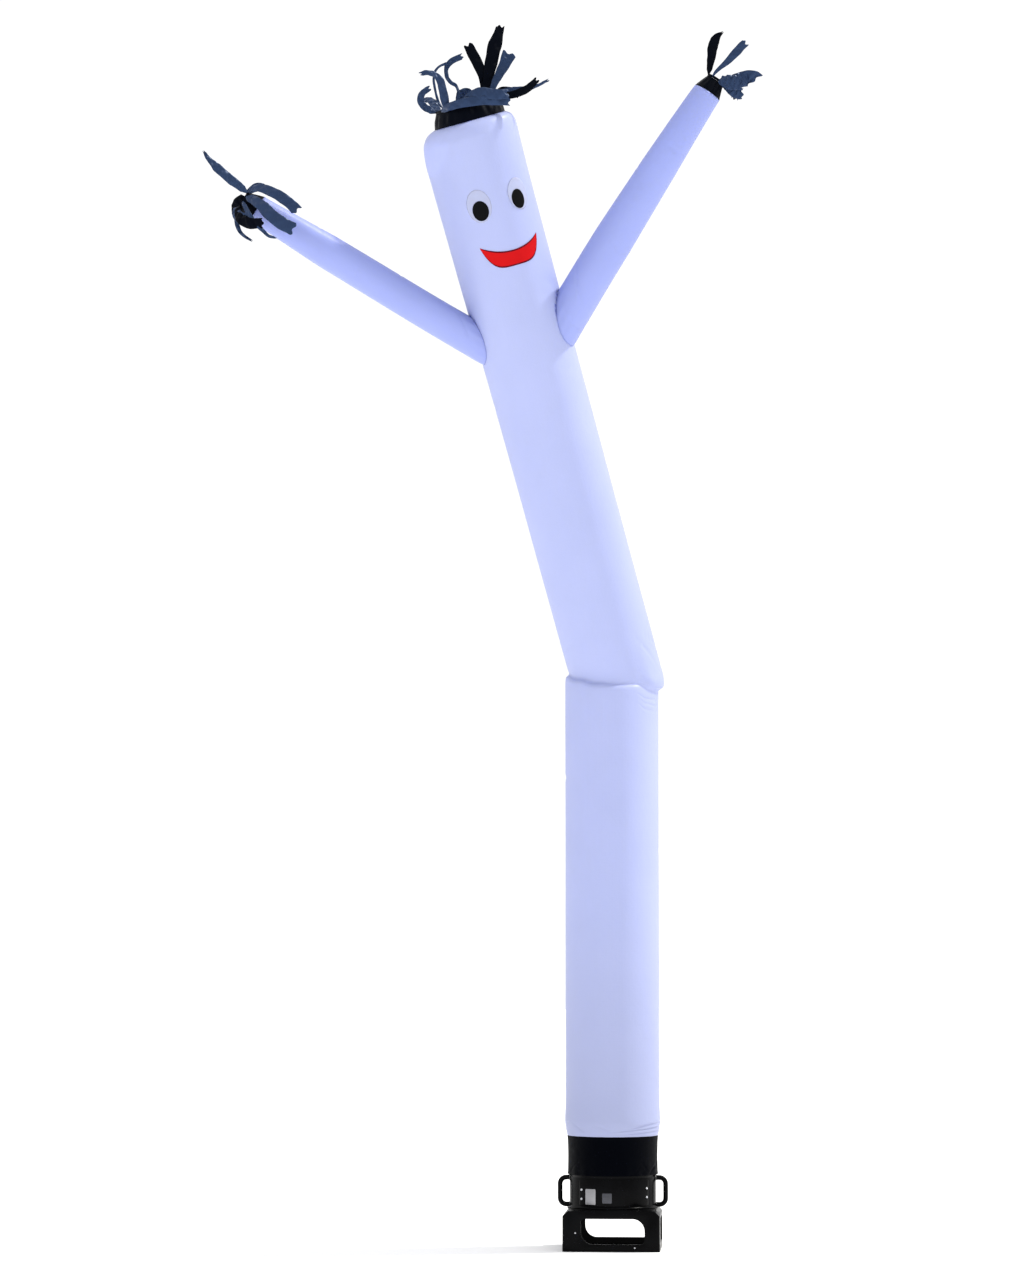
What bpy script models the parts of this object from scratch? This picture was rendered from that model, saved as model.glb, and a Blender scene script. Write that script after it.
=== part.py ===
"""Inflatable air dancer on its blower, metres, +Z up, origin on the ground under the blower's centre.

The blower stands square to the axes. The cloth figure is built in its own frame, which faces -Y, and a
parent empty turns it a few degrees on the blower.
"""
import math

import bmesh
import bpy
import numpy as np
from mathutils import Matrix, Vector

GAP = 0.0003
CLOTH = 0.0015
PATCH = 0.001
STREAMER = 0.002
FIGURE_TURN = math.radians(4.0)
ROUND_SIDES = 48
SHARP_ANGLE = math.radians(35)

# Blower
BASE_WIDTH, BASE_DEPTH, BASE_HEIGHT = 0.470, 0.460, 0.195
BASE_WALL = 0.005
BASE_CORNER = 0.026
SLOT_LOW, SLOT_HIGH = 0.036, 0.157
SLOT_WIDTH, SLOT_SIDE_WIDTH = 0.306, 0.280
SLOT_SHIFT = 0.008
SLOT_WIDE_CORNER, SLOT_TIGHT_CORNER = 0.058, 0.018
AIRWAY_RADIUS = 0.185
COLLAR_RADIUS, COLLAR_HEIGHT = 0.222, 0.004
DRUM_RADIUS, DRUM_WALL = 0.210, 0.005
DRUM_TOP = 0.357
NECK_RADIUS, NECK_TOP, NECK_FLARE = 0.2130, 0.450, 0.005
PANEL_LOW, PANEL_HIGH = 0.216, 0.340
PANEL_START, PANEL_END = -47.0, 56.0
PANEL_THICKNESS = 0.003
PLATE_LIFT = 0.0008
PLATES = {
    "rating_plate": dict(low=0.222, high=0.297, start=-35.5, end=-20.5),
    "square_plate": dict(low=0.230, high=0.278, start=-11.5, end=1.0),
}
HANDLE_BAR = 0.012
HANDLE_REACH, HANDLE_LOW, HANDLE_HIGH, HANDLE_CORNER = 0.257, 0.212, 0.342, 0.030

# Figure: the lower tube stands upright, the upper one leans over a fold
AROUND = 40
KNEE_HEIGHT = 2.880
LEAN = math.radians(20.2)
LEAN_HEADING = math.radians(219.8)
TUBE_FOOT = 0.5470
FACE_TURN = 16.7

LOWER_ROWS = [
    dict(height=TUBE_FOOT, radius=0.2215),
    dict(height=0.5750, radius=0.2275),
    dict(height=0.6200, radius=0.2325),
    dict(height=0.7200, radius=0.2292),
    dict(height=1.1500, radius=0.2285),
    dict(height=1.6500, radius=0.2285),
    dict(height=2.1500, radius=0.2285),
    dict(height=2.4400, radius=0.2288),
]
# Rows beside the fold: height above its valley, share of the way from the lower to the upper tube,
# share of the valley's depth and share of the pouch that hangs over it
FOLD_ROWS = [
    dict(rise=-0.110, blend=0.00, valley=0.00, pouch=0.00),
    dict(rise=-0.045, blend=0.01, valley=0.00, pouch=0.00),
    dict(rise=-0.020, blend=0.05, valley=0.10, pouch=0.00),
    dict(rise=-0.006, blend=0.25, valley=0.50, pouch=0.05),
    dict(rise=0.000, blend=0.50, valley=1.00, pouch=0.25),
    dict(rise=0.008, blend=0.80, valley=0.60, pouch=0.75),
    dict(rise=0.022, blend=0.96, valley=0.15, pouch=1.00),
    dict(rise=0.050, blend=1.00, valley=0.00, pouch=0.60),
    dict(rise=0.110, blend=1.00, valley=0.00, pouch=0.05),
]
# The fold around the tube: azimuth from the front, + to the viewer's right, and how far the rows beside
# it are spread, widest where the pouch hangs out as an ear
FOLD_ROUND = [
    dict(azimuth=-180, height=2.820, depth=0.000, pouch=0.000, spread=1.0),
    dict(azimuth=-150, height=2.820, depth=0.006, pouch=0.002, spread=1.0),
    dict(azimuth=-120, height=2.808, depth=0.012, pouch=0.000, spread=1.0),
    dict(azimuth=-90, height=2.796, depth=0.013, pouch=0.000, spread=1.0),
    dict(azimuth=-50, height=2.765, depth=0.015, pouch=0.000, spread=1.1),
    dict(azimuth=-25, height=2.742, depth=0.014, pouch=0.000, spread=1.2),
    dict(azimuth=5, height=2.735, depth=0.012, pouch=0.000, spread=1.2),
    dict(azimuth=28, height=2.736, depth=0.008, pouch=0.004, spread=1.3),
    dict(azimuth=46, height=2.716, depth=0.006, pouch=0.016, spread=1.6),
    dict(azimuth=66, height=2.716, depth=0.004, pouch=0.014, spread=1.8),
    dict(azimuth=79, height=2.744, depth=0.000, pouch=0.002, spread=1.8),
    dict(azimuth=92, height=2.776, depth=0.000, pouch=-0.004, spread=1.8),
    dict(azimuth=115, height=2.788, depth=0.000, pouch=-0.002, spread=1.5),
    dict(azimuth=145, height=2.808, depth=0.000, pouch=0.000, spread=1.0),
    dict(azimuth=180, height=2.820, depth=0.000, pouch=0.000, spread=1.0),
]
# The upper tube: distance along its axis from the knee, radius, and shift to the viewer's right
UPPER_ROWS = [
    dict(along=0.200, radius=0.2245, shift=0.0000),
    dict(along=0.500, radius=0.2250, shift=0.0000),
    dict(along=1.000, radius=0.2260, shift=0.0000),
    dict(along=1.340, radius=0.2278, shift=0.0000),
    dict(along=1.640, radius=0.2294, shift=0.0000),
    dict(along=1.900, radius=0.2314, shift=0.0000),
    dict(along=2.200, radius=0.2335, shift=0.0000),
    dict(along=2.450, radius=0.2355, shift=0.0000),
    dict(along=2.600, radius=0.2360, shift=0.0030),
    dict(along=2.645, radius=0.2325, shift=0.0080),
    dict(along=2.680, radius=0.2205, shift=0.0150),
    dict(along=2.702, radius=0.2000, shift=0.0210),
    dict(along=2.712, radius=0.1780, shift=0.0256),
]
CROWN_FOOT = 2.7130
CROWN_ROWS = [
    dict(along=CROWN_FOOT, radius=0.1755, shift=0.0256),
    dict(along=2.740, radius=0.1700, shift=0.0270),
    dict(along=2.785, radius=0.1540, shift=0.0300),
]
SLEEVE_ROWS = [
    dict(height=0.3590, radius=0.2182, ripple=0.0008),
    dict(height=0.3800, radius=0.2180, ripple=0.0006),
    dict(height=0.4400, radius=0.2178, ripple=0.0004),
    dict(height=0.5100, radius=0.2190, ripple=0.0000),
    dict(height=0.5465, radius=0.2215, ripple=0.0000),
]
SLEEVE_RIPPLES = 11

# Arms: each axis is a quadratic curve from the body's axis, over a middle point, to the wrist
ARM_AROUND = 24
ARM_STEPS = 8
ARM_HUB = 1.453
ARM_START = 0.120
ARM_HOLE_MARGIN = 0.014
ARM_HOLE_REACH = 0.620
ARM_SEAM = 0.0005
ARMS = {
    "arm_left": dict(middle=(-1.053, -0.549, 4.595), wrist=(-1.713, -0.650, 4.993),
                     radii=(0.0860, 0.0860, 0.0850, 0.0825, 0.0660)),
    "arm_right": dict(middle=(-0.033, -0.618, 4.826), wrist=(0.446, -0.660, 5.553),
                      radii=(0.1000, 0.1000, 0.0980, 0.0870, 0.0700)),
}
CUFF_LENGTH = 0.070
CUFF_SEAM = 0.0009
CUFF_TAPER = 0.65
STRIP_HEIGHT = 0.012
ROOT_HEIGHT = 0.0066

# Face patches on the upper tube: azimuth from the face's middle, distance along the axis, half sizes
EYES = {
    "left": dict(azimuth=-25.9, along=2.312, half_width=0.060, half_height=0.080),
    "right": dict(azimuth=25.9, along=2.320, half_width=0.060, half_height=0.078),
}
PUPILS = {
    "left": dict(azimuth=-25.4, along=2.288, half_width=0.039, half_height=0.048),
    "right": dict(azimuth=23.8, along=2.297, half_width=0.037, half_height=0.047),
}
PATCH_LIFT = 0.0005
PUPIL_LIFT = PATCH_LIFT + PATCH + 0.0004
MOUTH = dict(half_angle=38.5, tip=2.118, lip=2.070, chin=1.995, tip_width=0.006)

# Streamers. round: root on the ring, degrees from the front, + to the viewer's right. turns: the way it
# runs, seen from the front, 0 to the viewer's right and 90 up. leans: towards the viewer. spins: 0 shows
# its flat side, 90 its edge. widths: from the root to the tip.
HAIR = [
    dict(round=136, length=0.366, widths=(0.024, 0.048, 0.064, 0.068, 0.040),
         turns=(86, 82, 77, 73, 82), leans=(0, 0), spins=(0, 20)),
    dict(round=144, length=0.285, widths=(0.020, 0.034, 0.048, 0.054, 0.046),
         turns=(84, 96, 112, 120, 118), leans=(4, 0), spins=(0, 0)),
    dict(round=124, length=0.245, widths=(0.018, 0.034, 0.050, 0.070),
         turns=(78, 66, 62, 68), leans=(-10, 0), spins=(0, 10)),
    dict(round=84, length=0.262, widths=(0.026, 0.034, 0.030, 0.016, 0.014),
         turns=(30, 4, 10, 24, 34), leans=(0, 0), spins=(20, 40)),
    dict(round=60, length=0.238, widths=(0.026, 0.034, 0.040, 0.030),
         turns=(-4, 4, 20, 38, 54), leans=(24, 0), spins=(0, 30)),
    dict(round=-43, length=0.251, widths=(0.034, 0.042, 0.040, 0.032, 0.026),
         turns=(101, 100, 100, 134, 178, 212), leans=(10, 0), spins=(0, 20)),
    dict(round=-165, length=0.316, widths=(0.016, 0.014, 0.018, 0.022, 0.030, 0.030),
         turns=(81, 90, 144, 112, 60, 22, 20), leans=(0, -4), spins=(0, 20)),
    dict(round=-140, length=0.300, widths=(0.012, 0.012, 0.012, 0.012, 0.014),
         turns=(138, 106, 101, 95, 60, 16, 6), leans=(0, -6), spins=(10, 0)),
    dict(round=-92, length=0.176, widths=(0.030, 0.036, 0.034, 0.026),
         turns=(158, 150, 100, 40, 24), leans=(12, 12), spins=(10, 0)),
    dict(round=-60, length=0.385, widths=(0.034, 0.046, 0.044),
         turns=(14, 6, 2, 2), leans=(62, 22, -6, -24), spins=(0, 12)),
    dict(round=-8, length=0.245, widths=(0.040, 0.058, 0.044),
         turns=(52, -8, 4), leans=(38, -24), spins=(0, 0)),
    dict(round=-176, length=0.105, widths=(0.036, 0.052, 0.040),
         turns=(130, 54, -20), leans=(-14, 0), spins=(0, 30)),
    dict(round=-112, length=0.170, widths=(0.034, 0.046, 0.034),
         turns=(100, 120, 200), leans=(-50, -30), spins=(0, 40)),
    dict(round=108, length=0.200, widths=(0.034, 0.044, 0.030),
         turns=(70, 20, -50), leans=(-60, -20), spins=(10, 40)),
]
STREAMERS = {
    "left": [
        dict(round=60, length=0.290, widths=(0.030, 0.046, 0.044, 0.012),
             turns=(141, 142, 141, 132, 112), leans=(10, 6), spins=(0, 20)),
        dict(round=72, length=0.312, widths=(0.026, 0.050, 0.054),
             turns=(44, -14, -34, -47, -50), leans=(54, 14, 0), spins=(0, 0)),
        dict(round=20, length=0.334, widths=(0.034, 0.060, 0.064),
             turns=(-30, -42, -46, -34, -26), leans=(50, 12, 0), spins=(0, 0)),
        dict(round=-128, length=0.205, widths=(0.022, 0.022, 0.010),
             turns=(-114, -92, -66, -38, -24), leans=(10, 4), spins=(0, 10)),
        dict(round=-20, length=0.296, widths=(0.018, 0.024, 0.012),
             turns=(-66, -64, -58, -46, -40, 20), leans=(54, 6, 0), spins=(0, 10)),
        dict(round=150, length=0.150, widths=(0.036, 0.052, 0.044),
             turns=(184, 246, 300, 348), leans=(-10, 0), spins=(20, 40)),
        dict(round=-84, length=0.170, widths=(0.020, 0.058, 0.054),
             turns=(-138, -34, 4), leans=(52, 14), spins=(10, 30)),
        dict(round=-56, length=0.235, widths=(0.028, 0.050, 0.054, 0.048),
             turns=(-100, -84, -34, -4, 0), leans=(50, 6), spins=(0, 20)),
        dict(round=120, length=0.125, widths=(0.028, 0.038, 0.030),
             turns=(60, 30, -20, -56), leans=(-14, -4), spins=(0, 20)),
    ],
    "right": [
        dict(round=-70, length=0.224, widths=(0.022, 0.034, 0.048, 0.050, 0.010),
             turns=(82, 81, 80, 62, 22), leans=(4, 0), spins=(0, 20)),
        dict(round=-25, length=0.226, widths=(0.014, 0.020, 0.034, 0.042, 0.038),
             turns=(54, 38, 42, 48, 50, 36), leans=(10, 0), spins=(0, 10)),
        dict(round=40, length=0.160, widths=(0.036, 0.062, 0.064),
             turns=(-4, 12, 24, -50), leans=(8, 0), spins=(10, 30)),
        dict(round=84, length=0.108, widths=(0.028, 0.064, 0.052),
             turns=(-24, -44, 6), leans=(24, -6), spins=(0, 20)),
        dict(round=20, length=0.112, widths=(0.030, 0.060, 0.050),
             turns=(-36, -30, 0), leans=(56, 6), spins=(0, 20)),
        dict(round=140, length=0.120, widths=(0.036, 0.050, 0.040),
             turns=(10, -50, -120), leans=(-10, 0), spins=(0, 30)),
    ],
}
STREAMER_STEPS = 9
ROOT_WIDTH = 0.008

COLOURS = {
    "white_ripstop": dict(colour=(0.76, 0.78, 0.93), roughness=0.42, metallic=0.0),
    "black_ripstop": dict(colour=(0.020, 0.024, 0.040), roughness=0.40, metallic=0.0),
    "black_plastic": dict(colour=(0.010, 0.010, 0.012), roughness=0.42, metallic=0.0),
    "grey_plate": dict(colour=(0.35, 0.35, 0.36), roughness=0.35, metallic=0.6),
    "eye_cloth": dict(colour=(0.48, 0.48, 0.66), roughness=0.55, metallic=0.0),
    "pupil_cloth": dict(colour=(0.008, 0.008, 0.010), roughness=0.50, metallic=0.0),
    "red_cloth": dict(colour=(0.62, 0.010, 0.014), roughness=0.50, metallic=0.0),
}


# Scene and shared helpers
def clear_scene():
    for item in list(bpy.data.objects):
        bpy.data.objects.remove(item, do_unlink=True)


def new_collection(name):
    group = bpy.data.collections.new(name)
    bpy.context.scene.collection.children.link(group)
    return group


def material(name):
    if name in bpy.data.materials:
        return bpy.data.materials[name]
    values = COLOURS[name]
    made = bpy.data.materials.new(name)
    made.use_nodes = True
    shader = made.node_tree.nodes["Principled BSDF"]
    shader.inputs["Base Color"].default_value = (*values["colour"], 1.0)
    shader.inputs["Roughness"].default_value = values["roughness"]
    shader.inputs["Metallic"].default_value = values["metallic"]
    return made


def object_from(name, bm, finish, parent=None, closed=True):
    if closed:
        bmesh.ops.recalc_face_normals(bm, faces=bm.faces)
    mesh = bpy.data.meshes.new(name)
    bm.to_mesh(mesh)
    bm.free()
    made = bpy.data.objects.new(name, mesh)
    made.parent = parent
    parts.objects.link(made)
    mesh.materials.append(material(finish))
    mesh.shade_smooth()
    mesh.set_sharp_from_angle(angle=SHARP_ANGLE)
    return made


def as_cutter(item):
    parts.objects.unlink(item)
    cutters.objects.link(item)
    item.hide_render = True
    item.display_type = "WIRE"
    return item


def boolean(item, other, operation):
    step = item.modifiers.new(other.name, "BOOLEAN")
    step.operation = operation
    step.object = other
    step.solver = "EXACT"
    step.use_self = operation == "UNION"


def thicken(item, thickness, offset):
    step = item.modifiers.new("cloth", "SOLIDIFY")
    step.thickness = thickness
    step.offset = offset
    step.use_even_offset = True


def curve_through(columns, key, rows, value):
    """The value of one column between the rows, eased so that it has no corners."""
    at = [row[key] for row in rows]
    k = min(max(np.searchsorted(at, value) - 1, 0), len(at) - 2)
    share = (value - at[k]) / (at[k + 1] - at[k])
    share = share * share * (3 - 2 * share)
    return [rows[k][c] + (rows[k + 1][c] - rows[k][c]) * share for c in columns]


def spread(values, share):
    """The value at a share from 0 to 1 of an evenly spaced list."""
    return float(np.interp(share, np.linspace(0, 1, len(values)), values))


def cube(size, centre):
    bm = bmesh.new()
    bmesh.ops.create_cube(bm, size=1.0, matrix=Matrix.Translation(centre) @ Matrix.Diagonal((*size, 1.0)))
    return bm


def round_edges(bm, axis, reach, radius, segments, pick=None):
    """Rounds the edges that run along one axis, are longer than a reach and are picked."""
    along = [e for e in bm.edges if abs(e.verts[0].co[axis] - e.verts[1].co[axis]) > reach]
    edges = [e for e in along if not pick or pick(e)]
    bmesh.ops.bevel(bm, geom=edges, offset=radius, segments=segments, profile=0.5, affect="EDGES")


def loft(name, rings, finish, parent=None, caps=False):
    """A skin over rings of equal length, from the bottom up, each running left to right at the front."""
    bm = bmesh.new()
    rows = [[bm.verts.new(point) for point in ring] for ring in rings]
    count = len(rings[0])
    for low, high in zip(rows, rows[1:]):
        for k in range(count):
            n = (k + 1) % count
            bm.faces.new((low[k], low[n], high[n], high[k]))
    if caps:
        bm.faces.new(rows[0][::-1])
        bm.faces.new(rows[-1])
    return object_from(name, bm, finish, parent, closed=caps)


# Blower
def cylinder(name, radius, low, high, finish):
    bm = bmesh.new()
    middle = Matrix.Translation((0, 0, (low + high) / 2))
    bmesh.ops.create_cone(bm, cap_ends=True, segments=ROUND_SIDES, radius1=radius, radius2=radius,
                          depth=high - low, matrix=middle)
    return object_from(name, bm, finish)


def slot(name, width, along_x, shift):
    """A window that runs right through the base, with two wide corners and two tight ones."""
    height = SLOT_HIGH - SLOT_LOW
    length = 2 * max(BASE_WIDTH, BASE_DEPTH)
    axis, across = (0, 1) if along_x else (1, 0)
    bm = cube((length, width, height) if along_x else (width, length, height), (0, 0, 0))

    def tight(edge):
        point = edge.verts[0].co
        return (point[across] < 0) == (point.z > 0)

    def corner(edge):
        point = edge.verts[0].co
        return max(width / 2 - abs(point[across]), height / 2 - abs(point.z)) < GAP

    round_edges(bm, axis, length / 2, SLOT_TIGHT_CORNER, 3, tight)
    round_edges(bm, axis, length / 2, SLOT_WIDE_CORNER, 5, corner)
    bmesh.ops.translate(bm, verts=bm.verts, vec=(0 if along_x else shift, 0, (SLOT_LOW + SLOT_HIGH) / 2))
    return as_cutter(object_from(name, bm, "black_plastic"))


def blower_base():
    """A hollow box with chamfered shoulders, windows on four sides and a round ledge under the drum."""
    bm = cube((BASE_WIDTH, BASE_DEPTH, BASE_HEIGHT), (0, 0, BASE_HEIGHT / 2))
    shoulders = [e for e in bm.edges if all(v.co.z > BASE_HEIGHT / 2 for v in e.verts)
                 and abs(e.verts[0].co.x - e.verts[1].co.x) < GAP]
    bmesh.ops.bevel(bm, geom=shoulders, offset=BASE_CORNER, segments=1, affect="EDGES")
    round_edges(bm, 2, BASE_HEIGHT / 2, BASE_CORNER / 2, 2)
    base = object_from("blower_base", bm, "black_plastic")
    inside = cube((BASE_WIDTH - 2 * BASE_CORNER, BASE_DEPTH - 2 * BASE_WALL, BASE_HEIGHT - 2 * BASE_WALL),
                  (0, 0, BASE_HEIGHT / 2))
    round_edges(inside, 2, BASE_HEIGHT / 2, BASE_CORNER / 2, 3)
    hollow = as_cutter(object_from("base_hollow", inside, "black_plastic"))
    collar = as_cutter(cylinder("base_collar", COLLAR_RADIUS, BASE_HEIGHT - BASE_WALL / 2,
                                BASE_HEIGHT + COLLAR_HEIGHT - GAP, "black_plastic"))
    airway = as_cutter(cylinder("base_airway", AIRWAY_RADIUS, BASE_HEIGHT / 2,
                                BASE_HEIGHT + 2 * COLLAR_HEIGHT, "black_plastic"))
    boolean(base, collar, "UNION")
    boolean(base, hollow, "DIFFERENCE")
    boolean(base, slot("slot_front", SLOT_WIDTH, False, SLOT_SHIFT), "DIFFERENCE")
    boolean(base, slot("slot_side", SLOT_SIDE_WIDTH, True, 0.0), "DIFFERENCE")
    boolean(base, airway, "DIFFERENCE")


def blower_drum():
    """A turned shell: drum and slightly wider neck, open at both ends."""
    foot = BASE_HEIGHT + COLLAR_HEIGHT
    outer = [
        (NECK_RADIUS, NECK_TOP),
        (NECK_RADIUS, DRUM_TOP + NECK_FLARE),
        (DRUM_RADIUS, DRUM_TOP),
        (DRUM_RADIUS, foot),
    ]
    inner = [
        (DRUM_RADIUS - DRUM_WALL, foot),
        (DRUM_RADIUS - DRUM_WALL, NECK_TOP),
    ]
    mesh = bpy.data.meshes.new("blower_drum")
    points = [(x, 0, z) for x, z in outer + inner]
    mesh.from_pydata(points, [(k, (k + 1) % len(points)) for k in range(len(points))], [])
    mesh.materials.append(material("black_plastic"))
    drum = bpy.data.objects.new("blower_drum", mesh)
    parts.objects.link(drum)
    turned = drum.modifiers.new("turned", "SCREW")
    turned.steps = ROUND_SIDES
    turned.render_steps = ROUND_SIDES
    turned.use_merge_vertices = True
    turned.merge_threshold = 0.0001


def curved_plate(name, radius, thickness, low, high, start, end, finish, steps):
    """A plate bent round the blower's axis. Azimuths run from the front, + to the viewer's right."""
    bm = bmesh.new()
    rows = []
    for k in range(steps + 1):
        turn = math.radians(start + (end - start) * k / steps)
        flat = Vector((math.sin(turn), -math.cos(turn), 0))
        corners = [(radius, low), (radius + thickness, low), (radius + thickness, high), (radius, high)]
        rows.append([bm.verts.new(flat * reach + Vector((0, 0, height))) for reach, height in corners])
    for a, b in zip(rows, rows[1:]):
        for k in range(4):
            bm.faces.new((a[k], a[(k + 1) % 4], b[(k + 1) % 4], b[k]))
    bm.faces.new(rows[0])
    bm.faces.new(rows[-1])
    return object_from(name, bm, finish)


def blower_plates():
    panel_radius = DRUM_RADIUS + PLATE_LIFT
    curved_plate("blower_panel", panel_radius, PANEL_THICKNESS, PANEL_LOW, PANEL_HIGH,
                 PANEL_START, PANEL_END, "black_plastic", 20)
    for name, at in PLATES.items():
        curved_plate(name, panel_radius + PANEL_THICKNESS + PLATE_LIFT, PATCH, at["low"], at["high"],
                     at["start"], at["end"], "grey_plate", 6)


def handle(name, side):
    """A carry handle: a bent bar whose ends meet the drum."""
    near = DRUM_RADIUS + 2 * GAP
    bend = HANDLE_CORNER * (1 - math.sqrt(0.5))
    route = [
        (near, HANDLE_LOW),
        (HANDLE_REACH - HANDLE_CORNER, HANDLE_LOW),
        (HANDLE_REACH - bend, HANDLE_LOW + bend),
        (HANDLE_REACH, HANDLE_LOW + HANDLE_CORNER),
        (HANDLE_REACH, HANDLE_HIGH - HANDLE_CORNER),
        (HANDLE_REACH - bend, HANDLE_HIGH - bend),
        (HANDLE_REACH - HANDLE_CORNER, HANDLE_HIGH),
        (near, HANDLE_HIGH),
    ]
    data = bpy.data.curves.new(name + "_bar", "CURVE")
    data.dimensions = "3D"
    data.bevel_depth = HANDLE_BAR
    data.bevel_resolution = 2
    data.use_fill_caps = True
    line = data.splines.new("POLY")
    line.points.add(len(route) - 1)
    for point, (x, z) in zip(line.points, route):
        point.co = (side * x, 0, z, 1)
    bent = bpy.data.objects.new(name + "_bar", data)
    parts.objects.link(bent)
    bpy.context.view_layer.update()
    mesh = bpy.data.meshes.new_from_object(bent.evaluated_get(bpy.context.evaluated_depsgraph_get()))
    bpy.data.objects.remove(bent, do_unlink=True)
    bm = bmesh.new()
    bm.from_mesh(mesh)
    bmesh.ops.remove_doubles(bm, verts=bm.verts, dist=0.00001)
    object_from(name, bm, "black_plastic")


# Figure
def upper_frame():
    """The knee and the upper tube's own directions: along it, to the viewer's right and to the front."""
    flat = Vector((math.cos(LEAN_HEADING), math.sin(LEAN_HEADING), 0))
    along = (flat * math.sin(LEAN) + Vector((0, 0, 1)) * math.cos(LEAN)).normalized()
    right = (Vector((1, 0, 0)) - along * along.x).normalized()
    front = right.cross(along)
    return Vector((0, 0, KNEE_HEIGHT)), along, right, front


KNEE, ALONG, RIGHT, FRONT = upper_frame()


def on_upper(along, azimuth, radius, shift=0.0):
    """A point of the upper tube. The azimuth runs from the front, + to the viewer's right, in degrees."""
    turn = math.radians(azimuth)
    return KNEE + ALONG * along + RIGHT * (shift + radius * math.sin(turn)) + FRONT * radius * math.cos(turn)


def outward(azimuth):
    turn = math.radians(azimuth)
    return Vector((math.sin(turn), -math.cos(turn), 0))


def on_lower(height, azimuth, radius):
    return outward(azimuth) * radius + Vector((0, 0, height))


def upper_at_height(height, azimuth, radius):
    """The upper tube's surface where it reaches a level, in the azimuth's direction."""
    along = (height - KNEE_HEIGHT) / ALONG.z
    point = on_upper(along, azimuth, radius)
    return point + ALONG * ((height - point.z) / ALONG.z)


def azimuths(count):
    return [-180 + 360 * k / count for k in range(count)]


def upper_radius(along):
    return float(np.interp(along, [r["along"] for r in UPPER_ROWS], [r["radius"] for r in UPPER_ROWS]))


def fold_point(row, azimuth):
    """A point beside the fold, where the lower tube's rim rolls in and the upper tube rises out of it."""
    columns = ("height", "depth", "pouch", "spread")
    level, depth, pouch, spread_out = curve_through(columns, "azimuth", FOLD_ROUND, azimuth)
    height = level + row["rise"] * spread_out
    low = on_lower(height, azimuth, LOWER_ROWS[-1]["radius"])
    high = upper_at_height(height, azimuth, UPPER_ROWS[0]["radius"])
    return low.lerp(high, row["blend"]) + outward(azimuth) * (pouch * row["pouch"] - depth * row["valley"])


def body_rings(swell=0.0):
    """Rings of the body tube's outside, from the foot to the head's opening, swollen by a small distance."""
    turns = azimuths(AROUND)
    rings = [[on_lower(row["height"], a, row["radius"] + swell) for a in turns] for row in LOWER_ROWS]
    rings += [[fold_point(row, a) + outward(a) * swell for a in turns] for row in FOLD_ROWS]
    rings += [[on_upper(row["along"], a, row["radius"] + swell, row["shift"]) for a in turns]
              for row in UPPER_ROWS]
    return rings


def arm_axis(arm, share):
    start = KNEE + ALONG * ARM_HUB
    middle, wrist = Vector(arm["middle"]), Vector(arm["wrist"])
    point = start * (1 - share) ** 2 + middle * 2 * share * (1 - share) + wrist * share ** 2
    way = (middle - start) * (1 - share) + (wrist - middle) * share
    return point, way.normalized()


def ring_on(centre, way, radius, count):
    """A ring round a way, counted from its front, + to the viewer's right."""
    front = (Vector((0, -1, 0)) + way * way.y).normalized()
    right = way.cross(front)
    return [centre + (right * math.sin(math.radians(a)) + front * math.cos(math.radians(a))) * radius
            for a in azimuths(count)]


def body_tube(figure):
    body = loft("body_tube", body_rings(), "white_ripstop", figure)
    thicken(body, CLOTH, -1)
    for name, arm in ARMS.items():
        start = KNEE + ALONG * ARM_HUB
        way = (Vector(arm["middle"]) - start).normalized()
        radius = arm["radii"][0] - ARM_HOLE_MARGIN
        ends = (ARM_START, ARM_HOLE_REACH)
        rings = [ring_on(start + way * reach, way, radius, ARM_AROUND) for reach in ends]
        hole = loft(name + "_hole", rings, "white_ripstop", figure, caps=True)
        boolean(body, as_cutter(hole), "DIFFERENCE")


def arm_tubes(figure):
    """The arms, cut to the body's surface where they meet it."""
    envelope = as_cutter(loft("body_envelope", body_rings(ARM_SEAM), "white_ripstop", figure, caps=True))
    for name, arm in ARMS.items():
        reach = (Vector(arm["middle"]) - (KNEE + ALONG * ARM_HUB)).length
        first = ARM_START / (2 * reach)
        rings = []
        for k in range(ARM_STEPS + 1):
            share = first + (1 - first) * k / ARM_STEPS
            centre, way = arm_axis(arm, share)
            radius = spread(arm["radii"], share)
            rings.append(ring_on(centre, way, radius, ARM_AROUND))
        tube = loft(name, rings, "white_ripstop", figure)
        thicken(tube, CLOTH, -1)
        boolean(tube, envelope, "DIFFERENCE")


def base_sleeve(figure):
    rings = []
    for row in SLEEVE_ROWS:
        ring = []
        for a in azimuths(2 * AROUND):
            ripple = row["ripple"] * math.sin(math.radians(a) * SLEEVE_RIPPLES)
            ring.append(on_lower(row["height"], a, row["radius"] + ripple))
        rings.append(ring)
    thicken(loft("base_sleeve", rings, "black_ripstop", figure), CLOTH, -1)


def crown_band(figure):
    rings = [[on_upper(row["along"], a, row["radius"], row["shift"]) for a in azimuths(AROUND)]
             for row in CROWN_ROWS]
    thicken(loft("crown_band", rings, "black_ripstop", figure), CLOTH, -1)


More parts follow.
